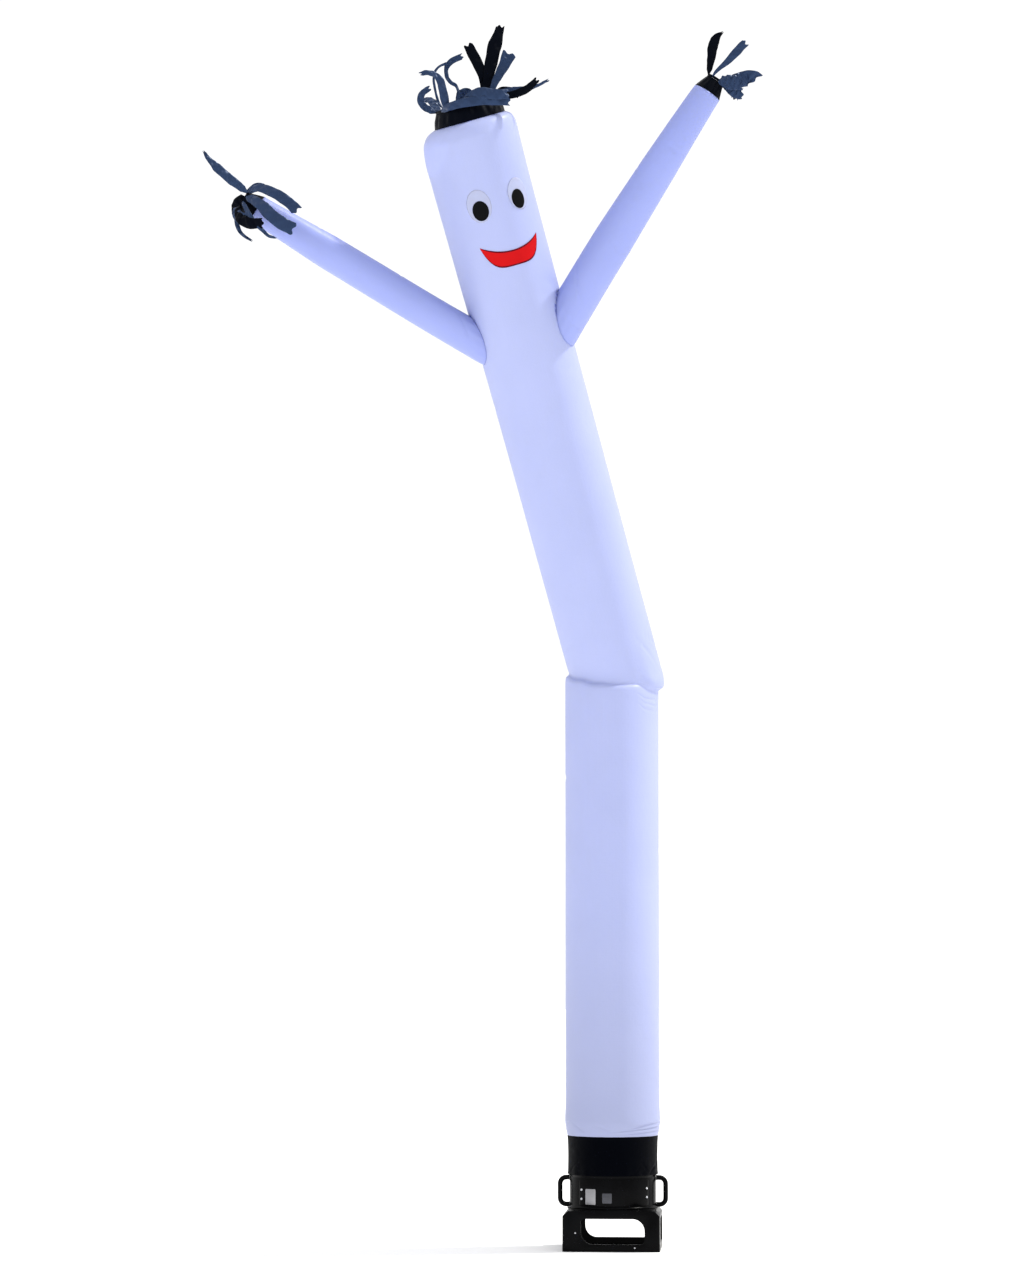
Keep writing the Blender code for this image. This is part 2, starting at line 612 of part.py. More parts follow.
def streamer(name, root, row, figure):
    """One ribbon with a rectangular section, gathered narrow where it starts in its backing strip."""
    step = row["length"] / STREAMER_STEPS
    point = root
    rings = []
    for k in range(STREAMER_STEPS + 1):
        share = k / STREAMER_STEPS
        turn = math.radians(spread(row["turns"], share))
        lean = math.radians(spread(row["leans"], share))
        run = Vector((math.cos(lean) * math.cos(turn), -math.sin(lean), math.cos(lean) * math.sin(turn)))
        level = Vector((-math.sin(turn), 0, math.cos(turn)))
        across = Matrix.Rotation(math.radians(spread(row["spins"], share)), 3, run) @ level
        side = across * ((spread(row["widths"], share) if k else ROOT_WIDTH) / 2)
        through = across.cross(run).normalized() * (STREAMER / 2)
        rings.append([point - side - through, point + side - through,
                      point + side + through, point - side + through])
        point = point + run * step
    return as_cutter(ribbon_skin(name, rings, figure))


def ribbon_skin(name, rings, figure):
    """A ribbon's skin, whose two broad sides are split along matching diagonals so that they never cross."""
    bm = bmesh.new()
    rows = [[bm.verts.new(point) for point in ring] for ring in rings]
    for low, high in zip(rows, rows[1:]):
        for a, b in ((0, 1), (3, 2)):
            bm.faces.new((low[a], low[b], high[b]))
            bm.faces.new((low[a], high[b], high[a]))
        for a, b in ((1, 2), (3, 0)):
            bm.faces.new((low[a], low[b], high[b], high[a]))
    bm.faces.new(rows[0])
    bm.faces.new(rows[-1])
    return object_from(name, bm, "black_ripstop", figure)


def fringe(name, centre, way, radius, rows, figure):
    """Streamers round an open end, fused at their roots in a narrow ring strip."""
    low = ring_on(centre + way * GAP, way, radius, AROUND)
    high = ring_on(centre + way * (GAP + STRIP_HEIGHT), way, radius, AROUND)
    strip = loft(name, [low, high], "black_ripstop", figure)
    thicken(strip, 2 * CLOTH, -1)
    front = (Vector((0, -1, 0)) + way * way.y).normalized()
    right = way.cross(front)
    for number, row in enumerate(rows):
        turn = math.radians(row["round"])
        away = right * math.sin(turn) + front * math.cos(turn)
        root = centre + way * (GAP + ROOT_HEIGHT) + away * (radius - CLOTH)
        boolean(strip, streamer(f"{name}_{number + 1}", root, row, figure), "UNION")


def hair(figure):
    top = CROWN_ROWS[-1]
    centre = KNEE + ALONG * top["along"] + RIGHT * top["shift"]
    fringe("hair", centre, ALONG, top["radius"], HAIR, figure)


def hands(figure):
    for name, arm in ARMS.items():
        side = name.split("_")[1]
        wrist, way = arm_axis(arm, 1.0)
        radius = arm["radii"][-1]
        rings = [ring_on(wrist + way * CUFF_SEAM, way, radius, ARM_AROUND),
                 ring_on(wrist + way * CUFF_LENGTH, way, radius * CUFF_TAPER, ARM_AROUND)]
        thicken(loft("cuff_" + side, rings, "black_ripstop", figure), CLOTH, -1)
        end = wrist + way * CUFF_LENGTH
        fringe("streamers_" + side, end, way, radius * CUFF_TAPER, STREAMERS[side], figure)


def on_face(across, along, clear):
    """A point over the upper tube's skin: metres across from the face's middle, metres along the axis."""
    radius = upper_radius(along)
    azimuth = FACE_TURN + math.degrees(across / radius)
    return on_upper(along, azimuth, radius + clear)


def oval_patch(name, at, clear, finish, figure, rings=4, count=28):
    bm = bmesh.new()
    middle = math.radians(at["azimuth"]) * upper_radius(at["along"])
    centre = bm.verts.new(on_face(middle, at["along"], clear))
    rows = []
    for r in range(1, rings + 1):
        row = []
        for k in range(count):
            turn = 2 * math.pi * k / count
            across = middle + at["half_width"] * r / rings * math.cos(turn)
            along = at["along"] + at["half_height"] * r / rings * math.sin(turn)
            row.append(bm.verts.new(on_face(across, along, clear)))
        rows.append(row)
    for k in range(count):
        n = (k + 1) % count
        bm.faces.new((centre, rows[0][k], rows[0][n]))
        for a, b in zip(rows, rows[1:]):
            bm.faces.new((a[k], b[k], b[n], a[n]))
    patch_object(name, bm, finish, figure)


def patch_object(name, bm, finish, figure):
    """A patch whose skin faces out of the tube, thickened outward."""
    bm.normal_update()
    facing = sum((f.normal for f in bm.faces), Vector())
    if facing.dot(FRONT) < 0:
        bmesh.ops.reverse_faces(bm, faces=bm.faces)
    mesh = bpy.data.meshes.new(name)
    bm.to_mesh(mesh)
    bm.free()
    mesh.materials.append(material(finish))
    mesh.shade_smooth()
    made = bpy.data.objects.new(name, mesh)
    made.parent = figure
    parts.objects.link(made)
    thicken(made, PATCH, 1)


def mouth(figure, columns=26, rows=4):
    """A crescent between an upper lip arc and a deeper lower one."""
    bm = bmesh.new()
    grid = []
    half = math.radians(MOUTH["half_angle"]) * upper_radius(MOUTH["tip"])
    for k in range(columns + 1):
        side = -1 + 2 * k / columns
        upper = MOUTH["lip"] + (MOUTH["tip"] - MOUTH["lip"]) * side ** 2
        lower = MOUTH["chin"] + (MOUTH["tip"] - MOUTH["tip_width"] - MOUTH["chin"]) * abs(side) ** 2.2
        heights = [lower + (upper - lower) * r / rows for r in range(rows + 1)]
        grid.append([bm.verts.new(on_face(side * half, height, PATCH_LIFT)) for height in heights])
    for a, b in zip(grid, grid[1:]):
        for r in range(rows):
            bm.faces.new((a[r], b[r], b[r + 1], a[r + 1]))
    patch_object("mouth", bm, "red_cloth", figure)


def face(figure):
    for side, eye in EYES.items():
        oval_patch("eye_white_" + side, eye, PATCH_LIFT, "eye_cloth", figure)
    for side, pupil in PUPILS.items():
        oval_patch("pupil_" + side, pupil, PUPIL_LIFT, "pupil_cloth", figure, rings=3, count=24)
    mouth(figure)


clear_scene()
parts = new_collection("air_dancer")
cutters = new_collection("cutters")
blower_base()
blower_drum()
blower_plates()
handle("handle_left", -1)
handle("handle_right", 1)

figure_frame = bpy.data.objects.new("figure_frame", None)
figure_frame.rotation_euler = (0, 0, FIGURE_TURN)
parts.objects.link(figure_frame)
base_sleeve(figure_frame)
body_tube(figure_frame)
arm_tubes(figure_frame)
crown_band(figure_frame)
hair(figure_frame)
hands(figure_frame)
face(figure_frame)
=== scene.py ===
import math

import bmesh
import bpy
import numpy as np
from mathutils import Matrix, Vector


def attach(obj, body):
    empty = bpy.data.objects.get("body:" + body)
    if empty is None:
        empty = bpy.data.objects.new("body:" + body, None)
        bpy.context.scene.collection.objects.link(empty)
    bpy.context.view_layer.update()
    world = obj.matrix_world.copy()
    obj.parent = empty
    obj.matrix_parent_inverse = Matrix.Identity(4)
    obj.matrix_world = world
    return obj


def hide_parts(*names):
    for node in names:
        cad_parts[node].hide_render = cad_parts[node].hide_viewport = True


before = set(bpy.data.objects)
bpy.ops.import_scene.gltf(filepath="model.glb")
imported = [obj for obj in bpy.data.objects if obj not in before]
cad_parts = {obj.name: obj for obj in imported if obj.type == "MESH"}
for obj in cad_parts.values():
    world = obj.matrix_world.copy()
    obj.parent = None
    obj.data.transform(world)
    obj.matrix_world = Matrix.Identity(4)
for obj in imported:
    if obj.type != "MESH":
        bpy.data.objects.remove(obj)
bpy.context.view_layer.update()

scene = bpy.context.scene
scene.view_settings.view_transform = "Standard"
turnFigure = Matrix.Rotation(math.radians(4.0), 4, "Z")  # the cloth figure stands a little turned on its blower


def table(columns, *rows):  # rows of values under named columns, of which a row may leave out the last ones
    return [dict(zip(columns.split(), row)) for row in rows]


def newObject(name, data):
    made = bpy.data.objects.new(name, data)
    scene.collection.objects.link(made)
    return made


def meshOf(body, name="shape"):
    mesh = bpy.data.meshes.new(name)
    body.to_mesh(mesh)
    body.free()
    return mesh


def unit(way):
    return way / np.linalg.norm(way, axis=-1, keepdims=True)


# colours and nodes
def hexColour(code):
    parts = [int(code[k:k + 2], 16) / 255 for k in (1, 3, 5)]
    linear = [c / 12.92 if c <= 0.04045 else ((c + 0.055) / 1.055) ** 2.4 for c in parts]
    return (*linear, 1.0)


def addNode(tree, kind, settings=None, links=None):
    node = tree.nodes.new("ShaderNode" + kind)
    for key, value in (settings or {}).items():
        if isinstance(key, int) or key in node.inputs:
            node.inputs[key].default_value = value
        else:
            setattr(node, key, value)
    for socket, source in (links or {}).items():
        if isinstance(source, bpy.types.Node):
            source = next(output for output in source.outputs if output.enabled)
        tree.links.new(source, node.inputs[socket])
    return node


def newMaterial(name):  # with the object's own coordinates as a link for textures
    made = bpy.data.materials.new(name)
    made.use_nodes = True
    tree = made.node_tree
    tree.nodes.clear()
    return made, tree, {"Vector": addNode(tree, "TexCoord").outputs["Object"]}


def withSurface(made, shader):
    addNode(made.node_tree, "OutputMaterial", links={"Surface": shader})
    return made


def colourBetween(tree, first, second, factor):
    return addNode(tree, "Mix", {"data_type": "RGBA", 6: hexColour(first), 7: hexColour(second)}, {0: factor})


def roughBetween(tree, low, high, noise):
    return addNode(tree, "MapRange", {1: 0.3, 2: 0.7, 3: low, 4: high}, {0: noise})


print("materials")

# Coated nylon ripstop: thin plain weave with thicker threads every 5 mm, polyurethane coated, so a faint grid
# and a soft sheen. The real grid is finer than a pixel of the picture, so it is drawn every 16 mm.
# On the body tube the colour is darkened towards the bottom: painted shade.
whiteCloth = dict(name="white_ripstop_nylon", base="#C2CAF0", soil="#B8C1E8", dustAndLowShade=0.5, lowShadeColour="#A4A9C6",
                  roughness=0.40, grid=0.016, thread=0.0022, gridHeight=0.0003, pucker=0.035,
                  puckerHeight=0.003, through=0.35, sheen=0.1, sheenTint="#E8EAF6", shine=0.4,
                  shineTint="#FFFFFF")
# The same cloth on the arms, a darker, deeper blue because the arms lie in shade: painted
# shade. The same cloth on the arms, in a deeper blue matched to the picture
shadedArmCloth = dict(whiteCloth, name="shaded_white_ripstop_nylon", base="#AAB6EE", soil="#A2AEE6", dustAndLowShade=0.0)
# The same cloth dyed black: nearly black and dull, its own colour; the blue tint of its faint shine is a
# painted sky reflection
blackCloth = dict(whiteCloth, name="black_ripstop_nylon", base="#030407", soil="#07080E", dustAndLowShade=0.0,
                  roughness=0.45, pucker=0.022, through=0.0, sheen=0.0, sheenTint="#6C93D2", shine=0.06,
                  shineTint="#8FA6D8")
# A lit copy of the black cloth for the ribbons that face the sky, shinier: its slate blue base and blue sheen
# and shine tints are painted sky reflection
skyLitCloth = dict(blackCloth, name="sky_lit_black_ripstop_nylon", base="#1B2438", soil="#2B3A57", roughness=0.36,
                  sheen=0.10, shine=0.45, shineTint="#7FA2DC")
# The sleeve's black cloth is uncoated and dusty, so it stays dull
dullCloth = dict(blackCloth, name="dull_black_nylon", base="#010102", soil="#030304", roughness=0.6, sheen=0.0,
                 shine=0.04)


def ripstopMaterial(cloth):
    made, tree, place = newMaterial(cloth["name"])
    flat = addNode(tree, "SeparateXYZ", links={0: addNode(tree, "TexCoord").outputs["UV"]})
    lines = []
    for axis in (0, 1):
        wave = addNode(tree, "Math", {"operation": "PINGPONG", 1: cloth["grid"] / 2}, {0: flat.outputs[axis]})
        lines.append(addNode(tree, "MapRange", {2: cloth["thread"] / 2, 3: 1.0, 4: 0.0}, {0: wave}))
    grid = addNode(tree, "Math", {"operation": "MAXIMUM"}, {0: lines[0], 1: lines[1]})
    patches = addNode(tree, "TexNoise", {"Scale": 3.0, "Detail": 4.0, "Roughness": 0.6}, place)
    colour = colourBetween(tree, cloth["base"], cloth["soil"], patches)
    if cloth["dustAndLowShade"]:  # painted shade: the colour darkens towards the bottom
        height = addNode(tree, "SeparateXYZ", links=place)
        shadeLowDown = addNode(tree, "MapRange", {1: 0.5, 2: 1.7, 3: cloth["dustAndLowShade"], 4: 0.0}, {0: height.outputs[2]})
        dustyAndShaded = {"data_type": "RGBA", 7: hexColour(cloth["lowShadeColour"])}
        colour = addNode(tree, "Mix", dustyAndShaded, {0: shadeLowDown, 6: colour})
    pucker = addNode(tree, "TexNoise", {"Scale": 1 / cloth["pucker"], "Detail": 3.0, "Roughness": 0.55}, place)
    soft = addNode(tree, "Bump", {"Strength": 0.35, "Distance": cloth["puckerHeight"]}, {"Height": pucker})
    weave = addNode(tree, "Bump", {"Strength": 0.5, "Distance": cloth["gridHeight"]},
                    {"Height": grid, "Normal": soft})
    rough = roughBetween(tree, cloth["roughness"] - 0.05, cloth["roughness"] + 0.07, pucker)
    face = addNode(tree, "BsdfPrincipled",
                   {"IOR": 1.5, "Sheen Weight": cloth["sheen"], "Sheen Roughness": 0.45,
                    "Sheen Tint": hexColour(cloth["sheenTint"]), "Specular IOR Level": cloth["shine"],
                    "Specular Tint": hexColour(cloth["shineTint"])},
                   {"Base Color": colour, "Roughness": rough, "Normal": weave})
    glow = addNode(tree, "BsdfTranslucent", links={"Color": colour, "Normal": weave})
    mixed = addNode(tree, "MixShader", {0: cloth["through"]}, {1: face, 2: glow})
    return withSurface(made, mixed)


# Face patches: the same nylon, dyed and sewn on, more matt than the tube because it has no coating
def patchMaterial(name, base, worn, roughness, shine):
    made, tree, place = newMaterial(name)
    cloudy = addNode(tree, "TexNoise", {"Scale": 22.0, "Detail": 4.0}, place)
    thread = addNode(tree, "TexNoise", {"Scale": 420.0, "Detail": 1.0}, place)
    colour = colourBetween(tree, base, worn, cloudy)
    bump = addNode(tree, "Bump", {"Strength": 0.3, "Distance": 0.0006}, {"Height": thread})
    return withSurface(made, addNode(
        tree, "BsdfPrincipled", {"Roughness": roughness, "IOR": 1.5, "Specular IOR Level": shine},
        {"Base Color": colour, "Normal": bump}))


# Moulded polyethylene: thick walls with a fine pebbled grain from the mould, dust and scuffs in patches
def mouldedMaterial(name, base, dustyAndShaded, roughness, grain):
    made, tree, place = newMaterial(name)
    dustAndLowShade = addNode(tree, "TexNoise", {"Scale": 7.0, "Detail": 6.0, "Roughness": 0.65}, place)
    spread = addNode(tree, "MapRange", {1: 0.45, 2: 0.75}, {0: dustAndLowShade})
    colour = colourBetween(tree, base, dustyAndShaded, spread)
    pebbles = addNode(tree, "TexVoronoi", {"Scale": 1 / grain}, place)
    bump = addNode(tree, "Bump", {"Strength": 0.35, "Distance": 0.0005}, {"Height": pebbles})
    rough = roughBetween(tree, roughness - 0.06, roughness + 0.1, dustAndLowShade)
    return withSurface(made, addNode(
        tree, "BsdfPrincipled", {"IOR": 1.52, "Specular IOR Level": 0.045},
        {"Base Color": colour, "Roughness": rough, "Normal": bump}))


# Brushed aluminium and zinc plated steel: streaks from brushing, dulled out of doors
def metalMaterial(name, base, dull, roughness):
    made, tree, place = newMaterial(name)
    stretched = addNode(tree, "Mapping", {"Scale": (40.0, 40.0, 900.0)}, place)
    streaks = addNode(tree, "TexNoise", {"Scale": 1.0, "Detail": 3.0}, {"Vector": stretched})
    colour = colourBetween(tree, base, dull, streaks)
    rough = addNode(tree, "MapRange", {3: roughness - 0.08, 4: roughness + 0.1}, {0: streaks})
    return withSurface(made, addNode(tree, "BsdfPrincipled", {"Metallic": 1.0},
                                     {"Base Color": colour, "Roughness": rough}))


whiteRipstop, shadedArmRipstop, blackRipstop, skyLitRipstop, dullNylon = (
    ripstopMaterial(cloth) for cloth in (whiteCloth, shadedArmCloth, blackCloth, skyLitCloth, dullCloth))
eyeNylon = patchMaterial("white_eye_nylon", "#9F9FB8", "#9FAACC", 0.6, 0.25)
pupilNylon = patchMaterial("black_eye_nylon", "#020203", "#060609", 0.5, 0.06)
mouthNylon = patchMaterial("red_nylon", "#BE080D", "#B0080E", 0.5, 0.08)
mouthHem = patchMaterial("red_nylon_hem", "#5E0718", "#560614", 0.55, 0.05)
blackPolyethylene = mouldedMaterial("moulded_black_polyethylene", "#020203", "#060709", 0.24, 0.0035)
wornPolyethylene = mouldedMaterial("moulded_handle_polyethylene", "#030405", "#090A0D", 0.26, 0.0035)
platedSteel = metalMaterial("zinc_plated_steel", "#C4C5C9", "#A4A6AC", 0.35)
plateAluminium = metalMaterial("brushed_plate_aluminium", "#97979A", "#7F7F83", 0.42)
dullAluminium = metalMaterial("dull_plate_aluminium", "#55565B", "#3E3F44", 0.5)


# shared shaping: a surface is a grid of points [row, around, xyz] in the figure's own frame
def easedColumn(rows, key, column, wanted):
    at = np.array([row[key] for row in rows], float)
    values = np.array([row[column] for row in rows], float)
    k = np.clip(np.searchsorted(at, wanted) - 1, 0, len(at) - 2)
    share = np.clip((wanted - at[k]) / (at[k + 1] - at[k]), 0, 1)
    share = share * share * (3 - 2 * share)
    return values[k] + (values[k + 1] - values[k]) * share


def throughRows(at, values, wanted):  # a smooth curve through rows that never swings past them
    at, wanted = np.asarray(at, float), np.asarray(wanted, float)
    spread = (-1, *([1] * (values.ndim - 1)))
    step = np.diff(at).reshape(spread)
    rise = np.diff(values, axis=0) / step
    tangent = np.empty_like(values)
    tangent[0], tangent[-1] = rise[0], rise[-1]
    same = rise[:-1] * rise[1:] > 0
    first, second = 2 * step[1:] + step[:-1], step[1:] + 2 * step[:-1]
    weighed = first / np.where(same, rise[:-1], 1) + second / np.where(same, rise[1:], 1)
    tangent[1:-1] = np.where(same, (first + second) / np.where(same, weighed, 1), 0)
    k = np.clip(np.searchsorted(at, wanted, side="right") - 1, 0, len(at) - 2)
    width = (at[k + 1] - at[k])
    t = ((wanted - at[k]) / width).reshape(spread)
    width = width.reshape(spread)
    return ((1 + 2 * t) * (1 - t) ** 2 * values[k] + t * (1 - t) ** 2 * width * tangent[k]
            + t * t * (3 - 2 * t) * values[k + 1] + t * t * (t - 1) * width * tangent[k + 1])


def gridNormals(grid):
    across = (np.roll(grid, -1, axis=1) - np.roll(grid, 1, axis=1)) / 2
    normal = np.cross(across, np.gradient(grid, axis=0))
    return normal / np.maximum(np.linalg.norm(normal, axis=2, keepdims=True), 1e-12)


def gridMesh(grids, closed=True, skip=None):  # one mesh from grids, with a weave map laid out in metres
    points, faces, weave = [], [], []
    start = 0
    for grid in grids:
        rows, count = grid.shape[:2]
        r, k = np.meshgrid(np.arange(rows - 1), np.arange(count if closed else count - 1), indexing="ij")
        n = (k + 1) % count
        low, up = r * count, (r + 1) * count
        quads = np.stack([low + k, low + n, up + n, up + k], -1).reshape(-1, 4)
        wide = np.linalg.norm(np.diff(grid, axis=1, append=grid[:, :1]), axis=2).mean(0)
        u = np.concatenate([[0], np.cumsum(wide)])
        v = np.concatenate([[0], np.cumsum(np.linalg.norm(np.diff(grid, axis=0), axis=2).mean(1))])
        corner = np.stack([np.stack([u[k + a], v[r + b]], -1) for a, b in ((0, 0), (1, 0), (1, 1), (0, 1))], 2)
        corner = corner.reshape(-1, 4, 2)
        if skip is not None:
            keep = ~skip[:rows - 1].reshape(-1)
            quads, corner = quads[keep], corner[keep]
        points.append(grid.reshape(-1, 3))
        faces.append(quads + start)
        weave.append(corner)
        start += rows * count
    points, faces, weave = np.concatenate(points), np.concatenate(faces), np.concatenate(weave)
    used, faces = np.unique(faces, return_inverse=True)
    mesh = bpy.data.meshes.new("surface")
    mesh.from_pydata(points[used].tolist(), [], faces.reshape(-1, 4).tolist())
    mesh.uv_layers.new(name="weave").data.foreach_set("uv", weave.reshape(-1))
    mesh.shade_smooth()
    return mesh


def addPiece(name, mesh, material, node=None, slot=None, thickness=0.0, offset=-1.0, figure=True):
    mesh.name = name
    mesh.materials.append(material)
    if figure:
        mesh.transform(turnFigure)
    piece = newObject(name, mesh)
    if thickness:
        wall = piece.modifiers.new("wall", "SOLIDIFY")
        wall.thickness, wall.offset, wall.use_even_offset = thickness, offset, False
    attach(piece, "root")
    if node:
        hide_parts(node)
    return piece


def azimuths(count):
    return -180 + 360 * np.arange(count) / count


def pushCreases(grid, azimuth, station, radius, creases):
    # Soft troughs with raised lips; reach, width and depth in mm. tilt turns a crease from level, + rising to
    # the viewer's right.
    push = np.zeros(grid.shape[:2])
    for crease in creases:
        x = np.radians((azimuth[None, :] - crease["azimuth"] + 180) % 360 - 180) * radius
        y = station - crease["at"]
        tilt = math.radians(crease["tilt"])
        off = (y * math.cos(tilt) - x * math.sin(tilt)) / (crease["width"] / 1000)
        along = (x * math.cos(tilt) + y * math.sin(tilt)) / (crease["reach"] / 1000)
        push -= (crease["depth"] / 1000 * (1 - 0.8 * off ** 2) * np.exp(-0.8 * off ** 2 - np.abs(along) ** 3))
    return raised(grid, push)


def raised(grid, height):  # a surface moved out along its own normals
    return grid + gridNormals(grid) * height[..., None]


# Body: the lower tube stands upright, the upper one leans over a fold
knee = np.array([0, 0, 2.880])
lean, heading = math.radians(20.2), math.radians(219.8)
alongTube = np.array([math.cos(heading) * math.sin(lean), math.sin(heading) * math.sin(lean), math.cos(lean)])
rightOfTube = unit(np.array([1.0, 0, 0]) - alongTube * alongTube[0])
frontOfTube = np.cross(rightOfTube, alongTube)
tube = dict(around=152, wall=0.0015, lowerTop=0.2288, upperFoot=0.2245, foldAt=2.76, radius=0.229,
            uneven=0.0007, seam=0.0016, seamWidth=0.008, calmLow=0.56, calmHigh=5.55)
# rings stand closer at the sleeve, at the fold and at the head's shoulder
ringSpacing = table("start end step", (0.547, 0.63, 0.003), (0.63, 0.75, 0.008), (0.75, 2.62, 0.0245),
                    (2.62, 2.90, 0.0032), (2.90, 5.40, 0.0235), (5.40, 5.588, 0.0075))
lowerRows = table("height radius",
    (0.547, 0.2215), (0.575, 0.2275), (0.62, 0.2325), (0.72, 0.2292), (1.15, 0.2285), (1.65, 0.2285),
    (2.15, 0.2285), (2.44, 0.2288),
)
foldRows = table("rise blend valley pouch",
    (-0.11, 0, 0, 0), (-0.045, 0.01, 0, 0), (-0.02, 0.05, 0.1, 0), (-0.006, 0.25, 0.5, 0.05),
    (0, 0.5, 1, 0.25), (0.008, 0.8, 0.6, 0.75), (0.022, 0.96, 0.15, 1), (0.05, 1, 0, 0.6), (0.11, 1, 0, 0.05),
)
foldRound = table("azimuth height depth pouch spread",
    (-180, 2.82, 0, 0, 1), (-150, 2.82, 0.006, 0.002, 1), (-120, 2.808, 0.0066, 0, 1),
    (-90, 2.796, 0.0072, 0, 1), (-50, 2.765, 0.0083, 0, 1.1), (-25, 2.742, 0.0077, 0, 1.2),
    (5, 2.735, 0.0066, 0, 1.2), (28, 2.736, 0.008, 0.004, 1.3), (46, 2.716, 0.006, 0.016, 1.6),
    (66, 2.716, 0.004, 0.014, 1.8), (79, 2.744, 0, 0.002, 1.8), (92, 2.776, 0, -0.004, 1.8),
    (115, 2.788, 0, -0.002, 1.5), (145, 2.808, 0, 0, 1), (180, 2.82, 0, 0, 1),
)
upperRows = table("along radius shift",
    (0.2, 0.2245, 0), (0.5, 0.225, 0), (1, 0.226, 0), (1.34, 0.2278, 0), (1.64, 0.2294, 0), (1.9, 0.2314, 0),
    (2.2, 0.2335, 0), (2.45, 0.2355, 0), (2.6, 0.236, 0.003), (2.645, 0.2325, 0.008), (2.68, 0.2205, 0.015),
    (2.702, 0.2, 0.021), (2.712, 0.178, 0.0256),
)
# Creases, placed as the picture shows them: at is the height on the lower tube, and the knee's height plus the
# distance along its axis on the upper one
creaseColumns = "azimuth at reach width depth tilt"
bodyCreases = table(creaseColumns,
    (60, 2.732, 90, 3.6, 4, 2), (63, 2.716, 80, 3.4, 3.6, 1), (59, 2.701, 80, 3.6, 3.4, 3),
    (60, 2.385, 90, 12, 3.5, 5), (56, 2.168, 80, 11, 3, -4), (62, 1.922, 100, 13, 4, 3),
    (54, 1.704, 80, 12, 3, -5), (60, 1.002, 90, 12, 3.5, 6), (52, 0.795, 100, 13, 4, 8),
    (-100, 2.3, 120, 14, 3.5, -6), (-130, 1.45, 120, 14, 3, 5), (170, 2.56, 160, 16, 4.5, 3),
    (150, 2.1, 120, 13, 3.5, -4), (-165, 0.98, 120, 14, 3.5, 4),
    # gathers above the black sleeve
    (36, 0.596, 100, 6, 3.4, 9), (46, 0.583, 170, 5, 4.6, 3), (52, 0.566, 170, 4, 3.4, 2),
    (60, 0.604, 110, 6, 4.6, 7), (-12, 0.585, 45, 7, 3, -24), (-48, 0.59, 50, 7, 3.5, -30),
    (-84, 0.596, 50, 7, 4, 20), (112, 0.596, 60, 8, 5, -26), (150, 0.59, 55, 8, 4.5, 24),
    (-140, 0.592, 55, 8, 4.5, -22),
    # above the fold, running up from the ear and from the fold's left end
    (70, 2.905, 90, 11, 4, -38), (48, 2.9, 80, 11, 3, -52), (-60, 2.925, 90, 12, 3.5, 40),
    (-88, 2.99, 100, 12, 3, 30),
    # upper tube: under the right arm, beside the left one and at the head
    (62, 4.3, 120, 14, 4, -24), (-66, 4.27, 120, 14, 4, 26), (50, 4.72, 80, 10, 4, 14),
    (56, 4.76, 80, 10, 3.5, 6), (168, 3.4, 140, 15, 4, -5), (-160, 4.05, 140, 15, 3.5, 6),
    (140, 4.9, 120, 13, 3.5, -4),
)


def outward(azimuth):
    turn = np.radians(azimuth)
    return np.stack([np.sin(turn), -np.cos(turn), np.zeros_like(turn)], -1)


def onLower(height, azimuth, radius):
    return outward(azimuth) * radius + np.array([0, 0, 1.0]) * np.asarray(height)[..., None]


def onUpper(along, azimuth, radius, shift=0.0):
    turn = np.radians(azimuth)
    across = shift + radius * np.sin(turn)
    return (knee + alongTube * np.asarray(along)[..., None] + rightOfTube * np.asarray(across)[..., None]
            + frontOfTube * np.asarray(radius * np.cos(turn))[..., None])


def foldRing(row, azimuth):
    level, depth, pouch, spread = (easedColumn(foldRound, "azimuth", column, azimuth)
                                   for column in "height depth pouch spread".split())
    height = level + row["rise"] * spread
    low = onLower(height, azimuth, tube["lowerTop"])
    along = (height - knee[2]) / alongTube[2]
    high = onUpper(along, azimuth, tube["upperFoot"])
    high = high + alongTube * ((height - high[..., 2]) / alongTube[2])[..., None]
    return (low + (high - low) * row["blend"]
            + outward(azimuth) * (pouch * row["pouch"] - depth * row["valley"])[..., None])


def lowerRings(rows, azimuth):
    return [onLower(np.full_like(azimuth, r["height"]), azimuth, r["radius"]) for r in rows]


def upperRings(rows, azimuth):
    return [onUpper(np.full_like(azimuth, r["along"]), azimuth, r["radius"], r["shift"]) for r in rows]


def bodyRings(azimuth):
    rings = lowerRings(lowerRows, azimuth) + [foldRing(row, azimuth) for row in foldRows]
    rings += upperRings(upperRows, azimuth)
    stations = [r["height"] for r in lowerRows] + [tube["foldAt"] + r["rise"] for r in foldRows]
    return np.array(rings), np.array(stations + [knee[2] + r["along"] for r in upperRows])


def upperRadius(along):
    return np.interp(along, [row["along"] for row in upperRows], [row["radius"] for row in upperRows])


# Arms: each axis is a curve from the body's axis, over a middle point, to the wrist
armHub = knee + alongTube * 1.453
arms = {
    "left": dict(middle=(-1.053, -0.549, 4.595), wrist=(-1.713, -0.650, 4.993),
                 radii=(0.0860, 0.0860, 0.0850, 0.0825, 0.0660)),
    "right": dict(middle=(-0.033, -0.618, 4.826), wrist=(0.446, -0.660, 5.553),
                  radii=(0.1000, 0.1000, 0.0980, 0.0870, 0.0700)),
}
armTube = dict(around=80, rows=120, wall=0.0015, hubReach=0.120, hole=0.014, clear=0.0006, pucker=0.0012,
               uneven=0.0007, radius=0.082, endFade=0.03, clothShare=1.18)


def armAxis(arm, share):
    share = np.asarray(share, float)[..., None]
    middle, wrist = np.array(arm["middle"]), np.array(arm["wrist"])
    point = armHub * (1 - share) ** 2 + middle * 2 * share * (1 - share) + wrist * share ** 2
    way = (middle - armHub) * (1 - share) + (wrist - middle) * share
    return point, unit(way)


